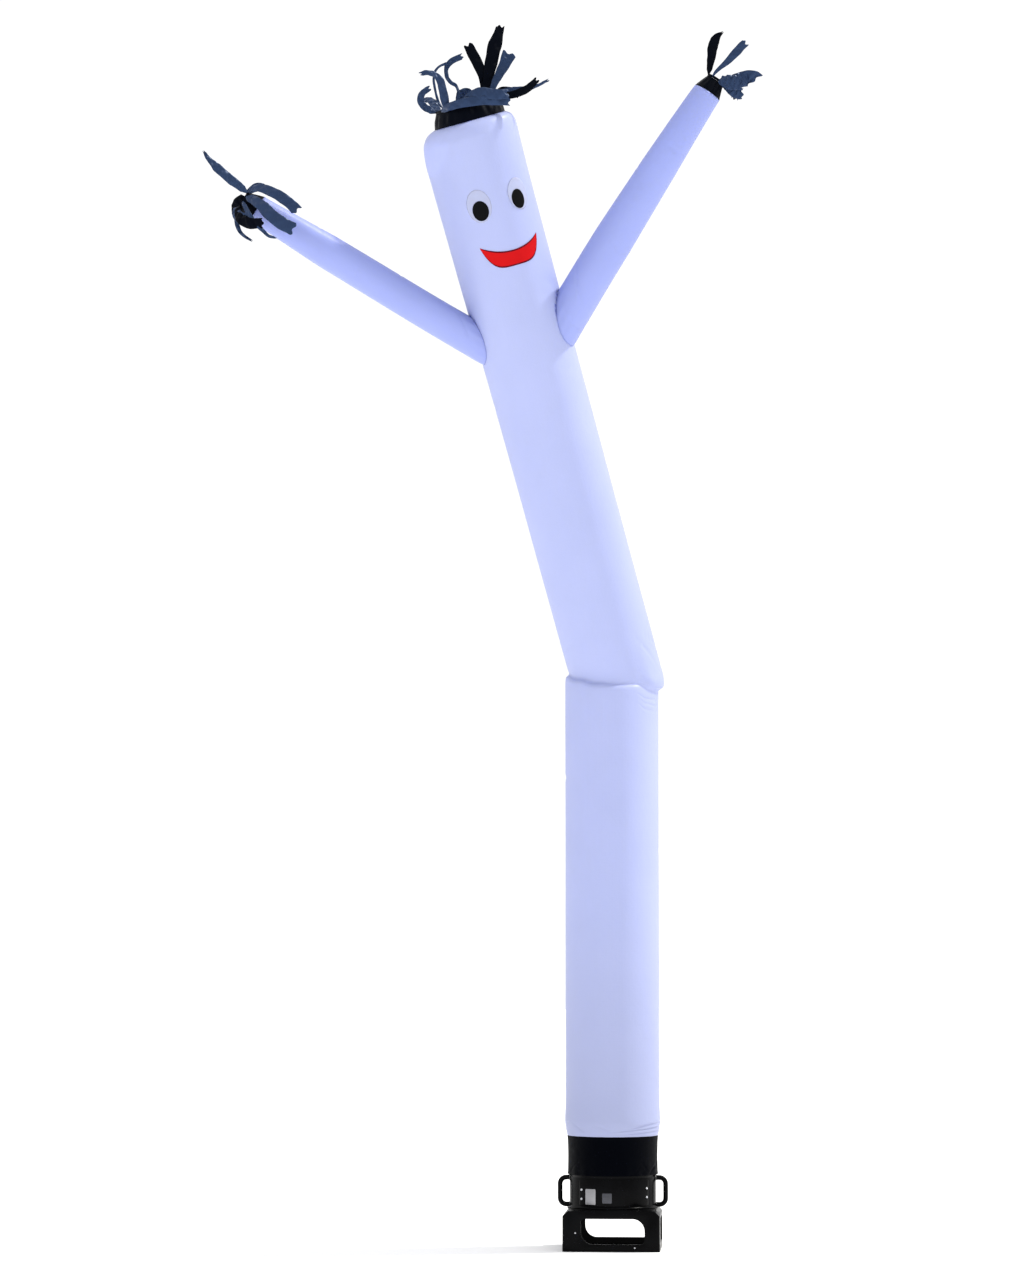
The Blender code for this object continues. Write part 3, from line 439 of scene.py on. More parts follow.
def roundWay(way):  # the two directions that a ring round a way is counted from: front and the viewer's right
    front = unit(np.array([0, -1.0, 0]) + way * way[..., 1:2])
    return front, np.cross(way, front)


def ringPoints(centre, way, radius, azimuth):
    front, right = roundWay(way)
    turn = np.radians(azimuth)[..., None]
    return centre + (right * np.sin(turn) + front * np.cos(turn)) * radius


def armPoint(arm, azimuth, share):
    radius = np.interp(share, np.linspace(0, 1, len(arm["radii"])), arm["radii"])[..., None]
    return ringPoints(*armAxis(arm, share), radius, azimuth)


def offBody(points):  # how far points stand off the upper tube's skin
    along = (points - knee) @ alongTube
    radial = np.linalg.norm(points - knee - alongTube * along[..., None], axis=-1)
    return radial - upperRadius(along)


def makeBody():
    azimuth = azimuths(tube["around"])
    rings, stations = bodyRings(azimuth)
    wanted = np.concatenate([np.arange(row["start"], row["end"], row["step"]) for row in ringSpacing]
                            + [[knee[2] + upperRows[-1]["along"]]])
    grid = throughRows(stations, rings, wanted)
    # air keeps the tube round, and the thin cloth between the creases still lies a little unevenly
    turn, height = np.radians(azimuth)[None, :], wanted[:, None]
    uneven = (np.sin(3 * turn + 2.1 * height) * np.sin(1.7 * height + 1) + 0.6 * np.sin(5 * turn - 3.3 * height)
              + 0.35 * np.sin(8 * turn + 9.1 * height) * np.sin(4.3 * height))
    ends = np.clip((height - tube["calmLow"]) / 0.1, 0, 1) * np.clip((tube["calmHigh"] - height) / 0.15, 0, 1)
    grid = raised(grid, tube["uneven"] * uneven * ends)
    grid = pushCreases(grid, azimuth, height, tube["radius"], bodyCreases)
    fromBack = np.radians((azimuth[None, :] + 360) % 360 - 180) * tube["radius"]
    seam = np.exp(-(fromBack / tube["seamWidth"]) ** 2)
    grid = raised(grid, tube["seam"] * seam * ends)  # the long seam at the back
    middle = (grid[:-1] + np.roll(grid, -1, axis=1)[:-1]) / 2
    skip = np.zeros(middle.shape[:2], bool)
    for arm in arms.values():  # the holes that let the air into the arms
        way = unit(np.array(arm["middle"]) - armHub)
        reach = (middle - armHub) @ way
        aside = np.linalg.norm(middle - armHub - way * reach[..., None], axis=-1)
        skip |= (reach > armTube["hubReach"]) & (aside < arm["radii"][0] - armTube["hole"])
    mesh = gridMesh([grid], skip=skip)
    piece = addPiece("bodyTube", mesh, whiteRipstop, "body_tube", "white_ripstop", tube["wall"])


armCreases = {
    "left": table(creaseColumns,
        (20, 0.1, 70, 10, 3, 12), (-50, 0.16, 60, 9, 3, -14), (60, 0.42, 60, 10, 2.5, 8),
        (-20, 0.7, 70, 10, 2.5, -8), (100, 0.92, 70, 10, 3, 6), (0, 1.12, 50, 8, 3, 10),
    ),
    "right": table(creaseColumns,
        (40, 0.09, 70, 11, 3.5, 16), (-30, 0.2, 70, 10, 3, -12), (30, 0.5, 60, 10, 2.5, 6),
        (-40, 0.78, 70, 10, 2.5, -8), (20, 1, 60, 9, 3, 9),
    ),
}


def makeArms():
    azimuth = azimuths(armTube["around"])
    for side, arm in arms.items():
        tries = np.linspace(0.02, 0.5, 600)
        gap = offBody(armPoint(arm, azimuth[None, :], tries[:, None]))
        first = np.array([tries[column < armTube["clear"]].max() for column in gap.T])
        rows = np.linspace(0, 1, armTube["rows"])[:, None]
        grid = armPoint(arm, azimuth[None, :], first + (1 - first) * rows)
        length = np.linalg.norm(np.diff(grid, axis=0), axis=2).sum(0).mean()
        station = rows * length
        fade = np.clip(np.minimum(station, length - station) / armTube["endFade"], 0, 1)
        turn = np.radians(azimuth)[None, :]
        # the seam gathers the arm's root into short puckers that die out along it
        pucker = np.sin(13 * turn + 0.6 * np.sin(2 * turn)) * np.exp(-((station - 0.03) / 0.045) ** 2)
        uneven = np.sin(3 * turn + 5 * station) + 0.6 * np.sin(5 * turn - 8 * station)
        grid = raised(grid, (armTube["pucker"] * pucker + armTube["uneven"] * uneven) * fade)
        grid = pushCreases(grid, azimuth, station, armTube["radius"], armCreases[side])
        name = "armTube" + side.title()
        # the arms get the shaded copy of the cloth: painted shade
        piece = addPiece(name, gridMesh([grid]), shadedArmRipstop, "arm_" + side, "white_ripstop", armTube["wall"])


print("body and arms")
makeBody()
makeArms()

# Black sleeve: ties the figure to the blower's neck, with small folds where it is drawn in
sleeve = dict(around=180, rows=60, wall=0.0015, gather=0.0012, hem=0.0010, hemAt=0.366, radius=0.218)
sleeveRows = table("height radius",
    (0.359, 0.2182), (0.38, 0.218), (0.44, 0.2178), (0.51, 0.219), (0.5465, 0.2215),
)
sleeveCreases = table(creaseColumns,
    (62, 0.392, 55, 6, 2.2, 38), (48, 0.384, 50, 6, 2, -46), (74, 0.41, 50, 7, 2.2, 24),
    (30, 0.378, 40, 6, 1.6, 52), (-20, 0.385, 45, 7, 1.6, -40), (-64, 0.395, 50, 7, 1.8, 34),
    (-120, 0.4, 50, 7, 2, -30), (130, 0.396, 55, 7, 2, 36), (176, 0.405, 55, 7, 2, -34),
)


def makeSleeve():
    azimuth = azimuths(sleeve["around"])
    at = [r["height"] for r in sleeveRows]
    wanted = np.linspace(at[0], at[-1], sleeve["rows"])
    grid = throughRows(at, np.array(lowerRings(sleeveRows, azimuth)), wanted)
    turn, height = np.radians(azimuth)[None, :], wanted[:, None]
    gather = np.sin(23 * turn + 1.4 * np.sin(3 * turn)) * np.exp(-((height - at[0]) / 0.05) ** 2)
    hem = np.exp(-((height - sleeve["hemAt"]) / 0.005) ** 2)
    grid = raised(grid, sleeve["gather"] * gather + sleeve["hem"] * hem)
    grid = pushCreases(grid, azimuth, height, sleeve["radius"], sleeveCreases)
    piece = addPiece("baseSleeve", gridMesh([grid]), dullNylon, "base_sleeve", "black_ripstop", sleeve["wall"])


# Crown band and cuffs: short black rings that the streamers hang from
crown = dict(around=132, rows=22, wall=0.0015, ripple=0.0022, fineRipple=0.0012)
crownRows = table("along radius shift", (2.713, 0.1755, 0.0256), (2.74, 0.17, 0.027), (2.785, 0.154, 0.03))
cuff = dict(around=72, rows=16, wall=0.0015, seam=0.0009, length=0.070, taper=0.65, ripple=0.0016, cloth=0.073)


def makeCrown():
    azimuth = azimuths(crown["around"])
    at = [r["along"] for r in crownRows]
    wanted = np.linspace(at[0], at[-1], crown["rows"])
    share = ((wanted - at[0]) / (at[-1] - at[0]))[:, None]
    turn = np.radians(azimuth)[None, :]
    broad, fine = np.sin(17 * turn + 1.2 * np.sin(2 * turn)), np.sin(29 * turn)
    ripple = (crown["ripple"] * broad + crown["fineRipple"] * fine) * np.sin(math.pi * share)
    grid = raised(throughRows(at, np.array(upperRings(crownRows, azimuth)), wanted), ripple)
    piece = addPiece("crownBand", gridMesh([grid]), blackRipstop, "crown_band", "black_ripstop", crown["wall"])


def makeCuffs():
    azimuth = azimuths(cuff["around"])
    turn = np.radians(azimuth)[None, :]
    share = np.linspace(0, 1, cuff["rows"])[:, None]
    ripple = cuff["ripple"] * np.sin(11 * turn + np.sin(2 * turn)) * np.sin(math.pi * share)
    for side, arm in arms.items():
        wrist, way = armAxis(arm, 1.0)
        radius = arm["radii"][-1]
        rows = [ringPoints(wrist + way * (cuff["seam"] + (cuff["length"] - cuff["seam"]) * s), way,
                           radius * (1 + (cuff["taper"] - 1) * s), azimuth) for s in share[:, 0]]
        grid = raised(np.array(rows), ripple)
        name = "cuff" + side.title()
        piece = addPiece(name, gridMesh([grid]), blackRipstop, "cuff_" + side, "black_ripstop", cuff["wall"])


# Streamers. round: root on the ring, degrees from the front, + to the viewer's right. turns: the way it runs,
# seen from the front, 0 to the viewer's right and 90 up. leans: towards the viewer. spins: 0 shows its flat
# side, 90 its edge. widths: from the root to the tip. dull: lies in shade and gets the plain black cloth, where
# the others get the lit copy with painted sky reflection. crumple: how deep its cross folds are. Lengths,
# widths and crumple are in mm.
ribbonColumns = "round length widths turns leans spins dull crumple"
hairRows = table(ribbonColumns,
    (136, 366, (24, 48, 64, 68, 40), (86, 82, 77, 73, 82), (0, 0), (0, 20), True),
    (144, 285, (20, 34, 48, 54, 46), (84, 96, 112, 120, 118), (4, 0), (0, 0), True),
    (124, 245, (18, 34, 50, 70), (78, 66, 62, 68), (-10, 0), (0, 10)),
    (84, 262, (26, 34, 30, 16, 14), (30, 4, 10, 24, 34), (0, 0), (20, 40)),
    (60, 238, (26, 34, 40, 30), (-4, 4, 20, 38, 54), (24, 0), (0, 30), True),
    (-43, 251, (34, 42, 40, 32, 26), (101, 100, 100, 134, 178, 212), (10, 0), (0, 20)),
    (-165, 316, (16, 14, 18, 22, 30, 30), (81, 90, 144, 112, 60, 22, 20), (0, -4), (0, 20)),
    (-140, 300, (12, 12, 12, 12, 14), (138, 106, 101, 95, 60, 16, 6), (0, -6), (10, 0)),
    (-92, 176, (30, 36, 34, 26), (158, 150, 100, 40, 24), (12, 12), (10, 0)),
    (-60, 385, (34, 46, 44), (14, 6, 2, 2), (62, 22, -6, -24), (0, 12)),
    (-8, 245, (40, 58, 44), (52, -8, 4), (38, -24), (0, 0)),
    (-176, 105, (36, 52, 40), (130, 54, -20), (-14, 0), (0, 30)),
    (-112, 170, (34, 46, 34), (100, 120, 200), (-50, -30), (0, 40)),
    (108, 200, (34, 44, 30), (70, 20, -50), (-60, -20), (10, 40), True),
)
handRows = {
    "left": table(ribbonColumns,
        (60, 290, (30, 46, 44, 12), (141, 142, 141, 132, 112), (10, 6), (0, 20)),
        (72, 322, (26, 50, 54), (24, -16, -30, -42, -48), (54, 14, 0), (0, 0)),
        (20, 334, (34, 60, 64), (-30, -42, -46, -34, -26), (50, 12, 0), (0, 0)),
        (-128, 205, (22, 22, 10), (-114, -92, -66, -38, -24), (10, 4), (0, 10)),
        (-20, 296, (18, 24, 12), (-66, -64, -58, -46, -40, 20), (54, 6, 0), (0, 10)),
        (150, 150, (36, 52, 44), (184, 246, 300, 348), (-10, 0), (20, 40), True),
        (-84, 170, (20, 58, 54), (-138, -34, 4), (52, 14), (10, 30)),
        (-56, 235, (28, 50, 54, 48), (-100, -84, -34, -4, 0), (50, 6), (0, 20), True),
        (120, 125, (28, 38, 30), (60, 30, -20, -56), (-14, -4), (0, 20)),
    ),
    "right": table(ribbonColumns,
        (-70, 224, (22, 34, 48, 50, 10), (82, 81, 80, 62, 22), (4, 0), (0, 20), True),
        (-25, 226, (14, 20, 34, 42, 38), (54, 38, 42, 48, 50, 36), (10, 0), (0, 10)),
        (40, 172, (40, 74, 76), (-6, 8, 22, -56), (8, 0), (10, 20), False, 7),
        (84, 108, (28, 64, 52), (-24, -44, 6), (24, -6), (0, 20)),
        (20, 140, (32, 72, 66), (-28, -20, -4), (56, 6), (0, 16), False, 7),
        (140, 120, (36, 50, 40), (10, -50, -120), (-10, 0), (0, 30)),
    ),
}
ribbon = dict(steps=9, fine=66, across=11, wall=0.0009, rootWidth=0.008, flutter=0.05, curl=0.16, crumple=4,
              slip=0.006)
strip = dict(rows=7, height=0.012, gap=0.0003, root=0.0066, narrow=0.0012, inset=0.0015, ripple=0.0008)


def ribbonGrid(root, row, seed):
    def at(key, share):
        return np.interp(share, np.linspace(0, 1, len(row[key])), row[key])

    shares = np.linspace(0, 1, ribbon["steps"] + 1)
    point, centres, sides = Vector(root), [], []
    for share in shares:
        turn, tip, spin = (math.radians(at(key, share)) for key in ("turns", "leans", "spins"))
        run = Vector((math.cos(tip) * math.cos(turn), -math.sin(tip), math.cos(tip) * math.sin(turn)))
        level = Vector((-math.sin(turn), 0, math.cos(turn)))
        sides.append(Matrix.Rotation(spin, 3, run) @ level)
        centres.append(point.copy())
        point = point + run * (row["length"] / 1000 / ribbon["steps"])
    wanted = np.linspace(0, 1, ribbon["fine"])
    centre = throughRows(shares, np.array(centres), wanted)
    side = unit(throughRows(shares, np.array(sides), wanted))
    run = unit(np.gradient(centre, axis=0))
    x, s = np.linspace(-1, 1, ribbon["across"])[None, :], wanted[:, None]
    opened = np.clip(s * ribbon["steps"], 0, 1)
    width = ribbon["rootWidth"] + (at("widths", s) / 1000 - ribbon["rootWidth"]) * opened
    # frayed edges, rolled edges, cross folds and a ragged tip, each ribbon with its own
    wave = np.random.default_rng(seed).uniform(0, 6.28, 8)
    width = width * (1 + ribbon["flutter"] * (np.sin(9 * s + wave[0]) * np.sign(x)
                                              + 0.5 * np.sin(23 * s + wave[1] + x)))
    curl = ribbon["curl"] * width / 2 * (x * x - 0.4) * np.sin(math.pi * np.clip(s * 1.1, 0, 1)) ** 0.5
    folds = (np.sin(21 * s + 1.8 * x + wave[2]) + 0.7 * np.sin(34 * s - 2.6 * x + wave[3])
             + 0.5 * np.sin(55 * s + 4 * x + wave[4]) + 0.6 * x * np.sin(13 * s + wave[5]))
    lift = curl + 0.5 * row.get("crumple", ribbon["crumple"]) / 1000 * opened * folds
    slip = ribbon["slip"] * np.clip((s - 0.85) / 0.15, 0, 1) * np.sin(5 * x + wave[6]) * opened
    return (centre[:, None] + side[:, None] * (x * width / 2)[..., None]
            + np.cross(side, run)[:, None] * lift[..., None] + run[:, None] * slip[..., None])


def makeFringe(name, node, centre, way, radius, rows, seed, around):
    azimuth = azimuths(around)
    ripple = strip["ripple"] * np.sin(19 * np.radians(azimuth))[:, None]
    levels = []
    for share in np.linspace(0, 1, strip["rows"]):
        place = centre + way * (strip["gap"] + strip["height"] * share)
        levels.append(ringPoints(place, way, radius + (ripple - strip["narrow"]) * share, azimuth))
    roots = ringPoints(centre + way * (strip["gap"] + strip["root"]), way, radius - strip["inset"],
                       np.array([row["round"] for row in rows]))
    ribbons = [ribbonGrid(root, row, seed + number) for number, (root, row) in enumerate(zip(roots, rows))]
    body = bmesh.new()
    body.from_mesh(gridMesh([np.array(levels)]))
    body.from_mesh(gridMesh(ribbons, closed=False))
    mesh = meshOf(body)
    # ribbons that face the sky get the lit copy with painted sky reflection; the strip and the ribbons in shade
    # get the plain black cloth
    piece = addPiece(name, mesh, skyLitRipstop, node, "black_ripstop", ribbon["wall"], 0.0)
    mesh.materials.append(blackRipstop)  # for the strip and the dull ribbons
    stripFaces, ribbonFaces = (strip["rows"] - 1) * around, (ribbon["fine"] - 1) * (ribbon["across"] - 1)
    for polygon in mesh.polygons:
        number = (polygon.index - stripFaces) // ribbonFaces
        polygon.material_index = 1 if number < 0 or rows[number].get("dull") else 0


print("black trim and streamers")
makeSleeve()
makeCrown()
makeCuffs()
topRow = crownRows[-1]
crownTop = knee + alongTube * topRow["along"] + rightOfTube * topRow["shift"]
makeFringe("hairRibbons", "hair", crownTop, alongTube, topRow["radius"], hairRows, 11, 120)
for side, arm in arms.items():
    wrist, way = armAxis(arm, 1.0)
    makeFringe("handRibbons" + side.title(), "streamers_" + side, wrist + way * cuff["length"], way,
               arm["radii"][-1] * cuff["taper"], handRows[side], 40 if side == "left" else 60, 72)


# Face: dyed patches that lie on the upper tube, turned to the viewer's right
face = dict(turn=16.7, patch=0.0008, hem=0.0007, rings=14, around=72)
patches = table("name node azimuth along half lift material slot",
    ("eyePatchLeft", "eye_white_left", -25.9, 2.312, (0.060, 0.080), 0.0005, eyeNylon, "eye_cloth"),
    ("pupilPatchLeft", "pupil_left", -25.4, 2.288, (0.039, 0.048), 0.0019, pupilNylon, "pupil_cloth"),
    ("eyePatchRight", "eye_white_right", 25.9, 2.320, (0.060, 0.078), 0.0005, eyeNylon, "eye_cloth"),
    ("pupilPatchRight", "pupil_right", 23.8, 2.297, (0.037, 0.047), 0.0019, pupilNylon, "pupil_cloth"),
)
mouth = dict(lift=0.0005, halfAngle=38.5, tip=2.118, lip=2.070, chin=1.995, tipWidth=0.006, fullness=4.2,
             columns=81, rows=12)


def onFace(across, along, clear):
    radius = upperRadius(along)
    return onUpper(along, face["turn"] + np.degrees(across / radius), radius + clear)


def ovalPatch(at):
    size = np.linspace(0.02, 1, face["rings"])[:, None]
    turn = np.linspace(0, 2 * math.pi, face["around"], endpoint=False)[None, :]
    middle = math.radians(at["azimuth"]) * float(upperRadius(at["along"]))
    across, along = (start + half * size * wave(turn) for start, half, wave in
                     zip((middle, at["along"]), at["half"], (np.cos, np.sin)))
    hem = face["hem"] * np.exp(-((size - 0.93) / 0.04) ** 2) + 0.0003 * np.sin(9 * turn) * size ** 3
    body = bmesh.new()
    body.from_mesh(gridMesh([onFace(across, along, at["lift"] + hem)]))
    body.verts.ensure_lookup_table()
    body.faces.new([body.verts[k] for k in range(face["around"])])
    bmesh.ops.recalc_face_normals(body, faces=body.faces)
    if np.array(sum((f.normal for f in body.faces), Vector())) @ frontOfTube < 0:
        bmesh.ops.reverse_faces(body, faces=body.faces)
    mesh = meshOf(body)
    mesh.shade_smooth()
    piece = addPiece(at["name"], mesh, at["material"], at["node"], at["slot"], face["patch"], 1.0)


def makeMouth():
    side = np.linspace(-1, 1, mouth["columns"])[:, None]
    share = np.linspace(0, 1, mouth["rows"])[None, :]
    half = math.radians(mouth["halfAngle"]) * float(upperRadius(mouth["tip"]))
    upper = mouth["lip"] + (mouth["tip"] - mouth["lip"]) * side ** 2
    rise = mouth["tip"] - mouth["tipWidth"] - mouth["chin"]
    lower = mouth["chin"] + rise * np.abs(side) ** mouth["fullness"]
    along = lower + (upper - lower) * share
    hem = face["hem"] * np.exp(-(np.minimum(share, 1 - share) / 0.10) ** 2)
    grid = onFace(side * half + 0 * along, along, mouth["lift"] + hem)
    mesh = gridMesh([grid.transpose(1, 0, 2)], closed=False)
    mesh.materials.append(mouthNylon)
    piece = addPiece("mouthPatch", mesh, mouthHem, "mouth", "red_cloth", face["patch"], 1.0)
    for polygon in mesh.polygons:
        polygon.material_index = 1 if polygon.index // (mouth["columns"] - 1) in (0, mouth["rows"] - 2) else 0


print("face")
for patch in patches:
    ovalPatch(patch)
makeMouth()


# Blower: moulded base, turned drum with neck, bolted panel and two carry handles
blower = dict(width=0.470, depth=0.460, height=0.195, wall=0.005, corner=0.026, slotLow=0.036,
              slotHigh=0.157, slotWide=0.306, slotSide=0.280, slotShift=0.008, wideCorner=0.058,
              tightCorner=0.018, airway=0.185, collar=0.222, collarHigh=0.004)
drum = dict(radius=0.210, wall=0.005, top=0.357, neck=0.2130, neckTop=0.450, flare=0.005, around=144)
panel = dict(low=0.216, high=0.340, start=-47.0, end=56.0, lift=0.0008, thick=0.003)
plates = table("name node low high start end metal",
               ("ratingPlate", "rating_plate", 0.222, 0.297, -35.5, -20.5, plateAluminium),
               ("squarePlate", "square_plate", 0.230, 0.278, -11.5, 1.0, dullAluminium))
handle = dict(bar=0.012, reach=0.257, low=0.212, high=0.342, corner=0.030, footFlare=1.12)
screws = dict(radius=0.0068, taper=0.7, high=0.0034, places=[(-42.4, 0.292), (-42.4, 0.248), (52.2, 0.298),
              (52.2, 0.256)], base=[(-0.172, 0.090), (0.114, 0.020)], baseRadius=0.0050, sunk=0.0004)
moulded = dict(slot="black_plastic", figure=False)


def cube(size, centre):
    body = bmesh.new()
    bmesh.ops.create_cube(body, size=1.0, matrix=Matrix.Translation(centre) @ Matrix.Diagonal((*size, 1.0)))
    return body


def roundEdges(body, axis, reach, radius, segments, pick=None):
    edges = [e for e in body.edges if abs(e.verts[0].co[axis] - e.verts[1].co[axis]) > reach
             and (pick is None or pick(e))]
    bmesh.ops.bevel(body, geom=edges, offset=radius, segments=segments, profile=0.5, affect="EDGES")


def looseObject(name, body):
    return newObject(name, meshOf(body, name))


def applied(item, cutters=()):  # the mesh with its modifiers applied, and the helpers removed
    bpy.context.view_layer.update()
    mesh = bpy.data.meshes.new_from_object(item.evaluated_get(bpy.context.evaluated_depsgraph_get()))
    for helper in (item, *cutters):
        bpy.data.objects.remove(helper, do_unlink=True)
    return mesh


def disc(name, radius, low, high):
    body = bmesh.new()
    bmesh.ops.create_cone(body, cap_ends=True, segments=128, radius1=radius, radius2=radius, depth=high - low,
                          matrix=Matrix.Translation((0, 0, (low + high) / 2)))
    return looseObject(name, body)


def cut(item, other, operation="DIFFERENCE"):
    step = item.modifiers.new(other.name, "BOOLEAN")
    step.operation, step.object, step.solver = operation, other, "EXACT"


def windowCutter(name, wide, alongX):
    # the mould's windows have two wide corners and two tighter ones
    length, high = 2 * blower["width"], blower["slotHigh"] - blower["slotLow"]
    middle = (0 if alongX else blower["slotShift"], 0, (blower["slotLow"] + blower["slotHigh"]) / 2)
    body = cube((length, wide, high) if alongX else (wide, length, high), middle)
    axis, other = (0, 1) if alongX else (1, 0)

    def tight(edge):
        corner = edge.verts[0].co
        return (corner[other] < middle[other]) == (corner.z > middle[2])

    def square(edge):  # not yet rounded
        off = edge.verts[0].co - Vector(middle)
        return abs(off[other]) > wide / 2 - 0.0001 and abs(off.z) > high / 2 - 0.0001

    roundEdges(body, axis, length / 2, blower["tightCorner"], 10, tight)
    roundEdges(body, axis, length / 2, blower["wideCorner"], 10, square)
    return looseObject(name, body)


def softened(mesh, width, segments=3):  # a small rounding on every moulded edge
    item = newObject("softened", mesh)
    step = item.modifiers.new("rounding", "BEVEL")
    step.width, step.segments = width, segments
    step.limit_method, step.angle_limit = "ANGLE", math.radians(40)
    made = applied(item)
    made.shade_smooth()
    made.set_sharp_from_angle(angle=math.radians(50))
    return made


def makeBase():
    size = (blower["width"], blower["depth"], blower["height"])
    body = cube(size, (0, 0, size[2] / 2))
    shoulders = [e for e in body.edges if all(v.co.z > size[2] / 2 for v in e.verts)
                 and abs(e.verts[0].co.x - e.verts[1].co.x) < 0.001]
    bmesh.ops.bevel(body, geom=shoulders, offset=blower["corner"], segments=1, affect="EDGES")
    roundEdges(body, 2, size[2] / 2, blower["corner"] / 2, 6)
    base = looseObject("base", body)
    inside = cube((size[0] - 2 * blower["corner"], size[1] - 2 * blower["wall"], size[2] - 2 * blower["wall"]),
                  (0, 0, size[2] / 2))
    roundEdges(inside, 2, size[2] / 2, blower["corner"] / 2, 6)
    hollow = looseObject("hollow", inside)
    collar = disc("collar", blower["collar"], size[2] - 0.0025, size[2] + blower["collarHigh"] - 0.0003)
    airway = disc("airway", blower["airway"], size[2] / 2, size[2] + 2 * blower["collarHigh"])
    front = windowCutter("frontWindow", blower["slotWide"], False)
    side = windowCutter("sideWindow", blower["slotSide"], True)
    cut(base, collar, "UNION")
    for other in (hollow, front, side, airway):
        cut(base, other)
    mesh = softened(applied(base, (hollow, collar, airway, front, side)), 0.0022)
    addPiece("blowerBase", mesh, blackPolyethylene, "blower_base", **moulded)


def turned(name, profile, around):  # a lathe shape from radius and height pairs, closed on itself
    mesh = bpy.data.meshes.new(name)
    points = [(x, 0, z) for x, z in profile]
    mesh.from_pydata(points, [(k, (k + 1) % len(points)) for k in range(len(points))], [])
    item = newObject(name, mesh)
    step = item.modifiers.new("turned", "SCREW")
    step.steps = step.render_steps = around
    step.use_merge_vertices = True
    step.merge_threshold = 0.0001
    return applied(item)


def makeDrum():
    # from the inside over the neck's rim, down past the flare and a groove to the foot's bead
    foot, top, neck = blower["height"] + blower["collarHigh"], drum["top"], drum["neck"]
    flare = top + drum["flare"]
    profile = [(drum["radius"] - drum["wall"], foot), (drum["radius"] - drum["wall"], drum["neckTop"]),
               (neck - 0.0015, drum["neckTop"]), (neck, drum["neckTop"] - 0.0015), (neck, flare + 0.002),
               (neck - 0.0012, flare - 0.002)]
    groove = ((0.001, 0.0005), (0, -0.0025), (0, -0.006), (-0.001, -0.0072), (-0.001, -0.0092), (0, -0.0104))
    bead = ((0, 0.013), (0.0012, 0.011), (0.0052, 0.0092), (0.0062, 0.007), (0.0062, 0.002), (0.0046, 0.0002),
            (0.001, 0))
    for level, steps in ((top, groove), (foot, bead)):
        profile += [(drum["radius"] + x, level + z) for x, z in steps]
    mesh = turned("drum", profile, drum["around"])
    mesh.shade_smooth()
    mesh.set_sharp_from_angle(angle=math.radians(55))
    addPiece("drumShell", mesh, blackPolyethylene, "blower_drum", **moulded)


def bentPlate(radius, thick, low, high, start, end, columns):
    # a plate bent round the blower, azimuths from its front, with its corners rounded
    body = bmesh.new()
    rows = []
    for azimuth in np.linspace(start, end, columns + 1):
        way = outward(np.array(azimuth))
        corners = [(radius, low), (radius + thick, low), (radius + thick, high), (radius, high)]
        rows.append([body.verts.new(way * r + np.array([0, 0, z])) for r, z in corners])
    for a, b in zip(rows, rows[1:]):
        for k in range(4):
            body.faces.new((a[k], a[(k + 1) % 4], b[(k + 1) % 4], b[k]))
    body.faces.new(rows[0])
    body.faces.new(rows[-1])
    bmesh.ops.recalc_face_normals(body, faces=body.faces)
    corners = [e for e in body.edges if any(all(v in row for v in e.verts) for row in (rows[0], rows[-1]))
               and abs(e.verts[0].co.z - e.verts[1].co.z) < (high - low) / 2]
    offset = min(0.008, (high - low) / 6)
    bmesh.ops.bevel(body, geom=corners, offset=offset, segments=5, profile=0.5, affect="EDGES")
    return meshOf(body)


def panHead(body, radius, place):
    bmesh.ops.create_cone(body, cap_ends=True, segments=20, radius1=radius, radius2=radius * screws["taper"],
                          depth=screws["high"], matrix=place)


def makePlates():
    radius = drum["radius"] + panel["lift"]
    mesh = bentPlate(radius, panel["thick"], panel["low"], panel["high"], panel["start"], panel["end"], 48)
    addPiece("accessPanel", softened(mesh, 0.0009, segments=2), blackPolyethylene, "blower_panel", **moulded)
    radius += panel["thick"]
    for at in plates:
        mesh = bentPlate(radius + panel["lift"], 0.001, at["low"], at["high"], at["start"], at["end"], 16)
        mesh = softened(mesh, 0.0003, segments=2)
        addPiece(at["name"], mesh, at["metal"], at["node"], "grey_plate", figure=False)
    # pan heads that hold the panel, and two on the base's front
    body = bmesh.new()
    for azimuth, height in screws["places"]:
        way = Vector(outward(np.array(azimuth)))
        place = Matrix.Translation(way * (radius + screws["high"] / 2) + Vector((0, 0, height)))
        panHead(body, screws["radius"], place @ way.to_track_quat("Z", "Y").to_matrix().to_4x4())
    for x, height in screws["base"]:
        place = Matrix.Translation((x, screws["sunk"] - (blower["depth"] + screws["high"]) / 2, height))
        panHead(body, screws["baseRadius"], place @ Matrix.Rotation(math.pi / 2, 4, "X"))
    addPiece("panelScrews", softened(meshOf(body), 0.0007, segments=2), platedSteel, figure=False)


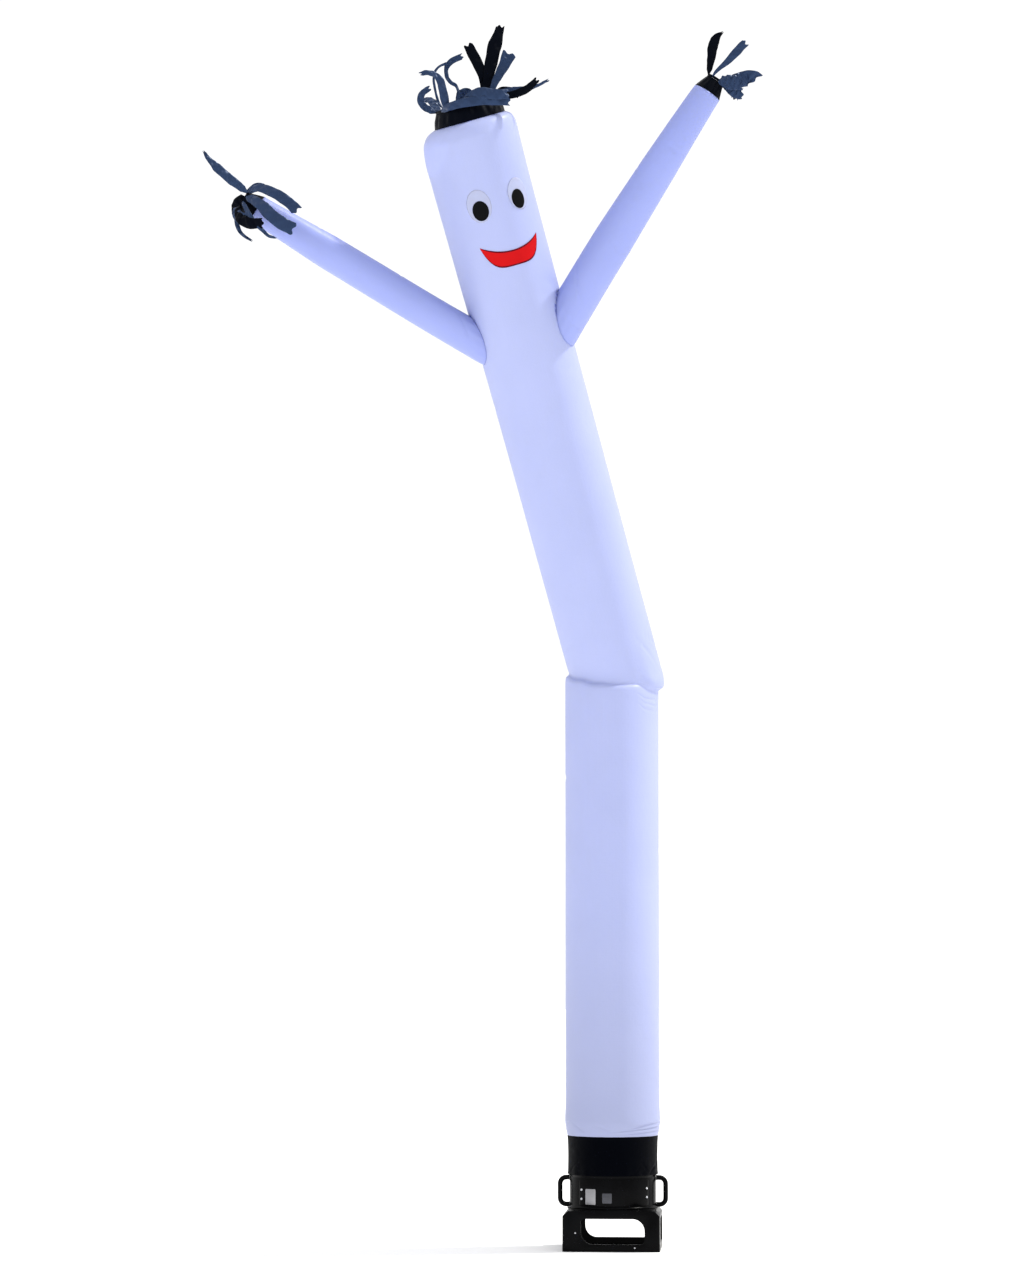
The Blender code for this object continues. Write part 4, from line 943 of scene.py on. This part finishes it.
def makeHandles():
    near, corner, outer = drum["radius"] + 0.0006, handle["corner"], handle["reach"] - handle["corner"]
    arc = [math.radians(90 * k / 8) for k in range(9)]
    route = [(near, handle["low"]), (near + 0.006, handle["low"])]
    route += [(outer + corner * math.sin(a), handle["low"] + corner - corner * math.cos(a)) for a in arc]
    route += [(outer + corner * math.cos(a), handle["high"] - corner + corner * math.sin(a)) for a in arc]
    route += [(near + 0.006, handle["high"]), (near, handle["high"])]
    for side, sign in (("Left", -1), ("Right", 1)):
        data = bpy.data.curves.new("bar", "CURVE")
        data.dimensions, data.bevel_depth, data.bevel_resolution = "3D", handle["bar"], 6
        data.use_fill_caps = True
        line = data.splines.new("POLY")
        line.points.add(len(route) - 1)
        for k, (point, (x, z)) in enumerate(zip(line.points, route)):
            point.co = (sign * x, 0, z, 1)
            point.radius = handle["footFlare"] if k in (0, len(route) - 1) else 1.0
        mesh = applied(newObject("bar", data))
        mesh.shade_smooth()
        mesh.set_sharp_from_angle(angle=math.radians(50))
        addPiece("carryHandle" + side, mesh, wornPolyethylene, "handle_" + side.lower(), **moulded)


print("blower")
makeBase()
makeDrum()
makePlates()
makeHandles()


# Studio: pale floor, white surroundings, one soft key high on the viewer's right and a little behind
studio = dict(floor="#FDFDFE", world="#FFFFFF", worldPower=1.06, key=3.5, keySize=3.0, keyTurn=102, keyHigh=54)
ground = bpy.data.meshes.new("floor")
ground.from_pydata([(-60, -60, 0), (60, -60, 0), (60, 60, 0), (-60, 60, 0)], [], [(0, 1, 2, 3)])
paper, tree, place = newMaterial("studio_floor_paper")
matt = addNode(tree, "BsdfPrincipled", {"Base Color": hexColour(studio["floor"]), "Roughness": 0.9})
withSurface(paper, matt)
ground.materials.append(paper)
floor = newObject("studioFloor", ground)

world = bpy.data.worlds.new("studioWorld")
world.use_nodes = True
sky = world.node_tree.nodes["Background"]
sky.inputs["Color"].default_value = hexColour(studio["world"])
sky.inputs["Strength"].default_value = studio["worldPower"]
scene.world = world

key = bpy.data.lights.new("softKey", "SUN")
key.energy = studio["key"]
key.angle = math.radians(studio["keySize"])
key.color = hexColour("#FFFDF6")[:3]
turn, high = math.radians(studio["keyTurn"]), math.radians(studio["keyHigh"])
toKey = Vector((math.sin(turn) * math.cos(high), -math.cos(turn) * math.cos(high), math.sin(high)))
lamp = newObject("softKey", key)
lamp.rotation_euler = (turnFigure.to_3x3() @ toKey).to_track_quat("Z", "Y").to_euler()

view = dict(place=(-0.506, -18.0, 1.5), sensor=36.0, lens=103.0, pitch=94.665, turn=4.0)
lens = bpy.data.cameras.new("camera")
lens.sensor_fit, lens.sensor_height, lens.lens, lens.clip_end = "VERTICAL", view["sensor"], view["lens"], 200.0
camera = newObject("camera", lens)
camera.location = turnFigure @ Vector(view["place"])
camera.rotation_euler = (math.radians(view["pitch"]), 0, math.radians(view["turn"]))
scene.camera = camera

print("done")
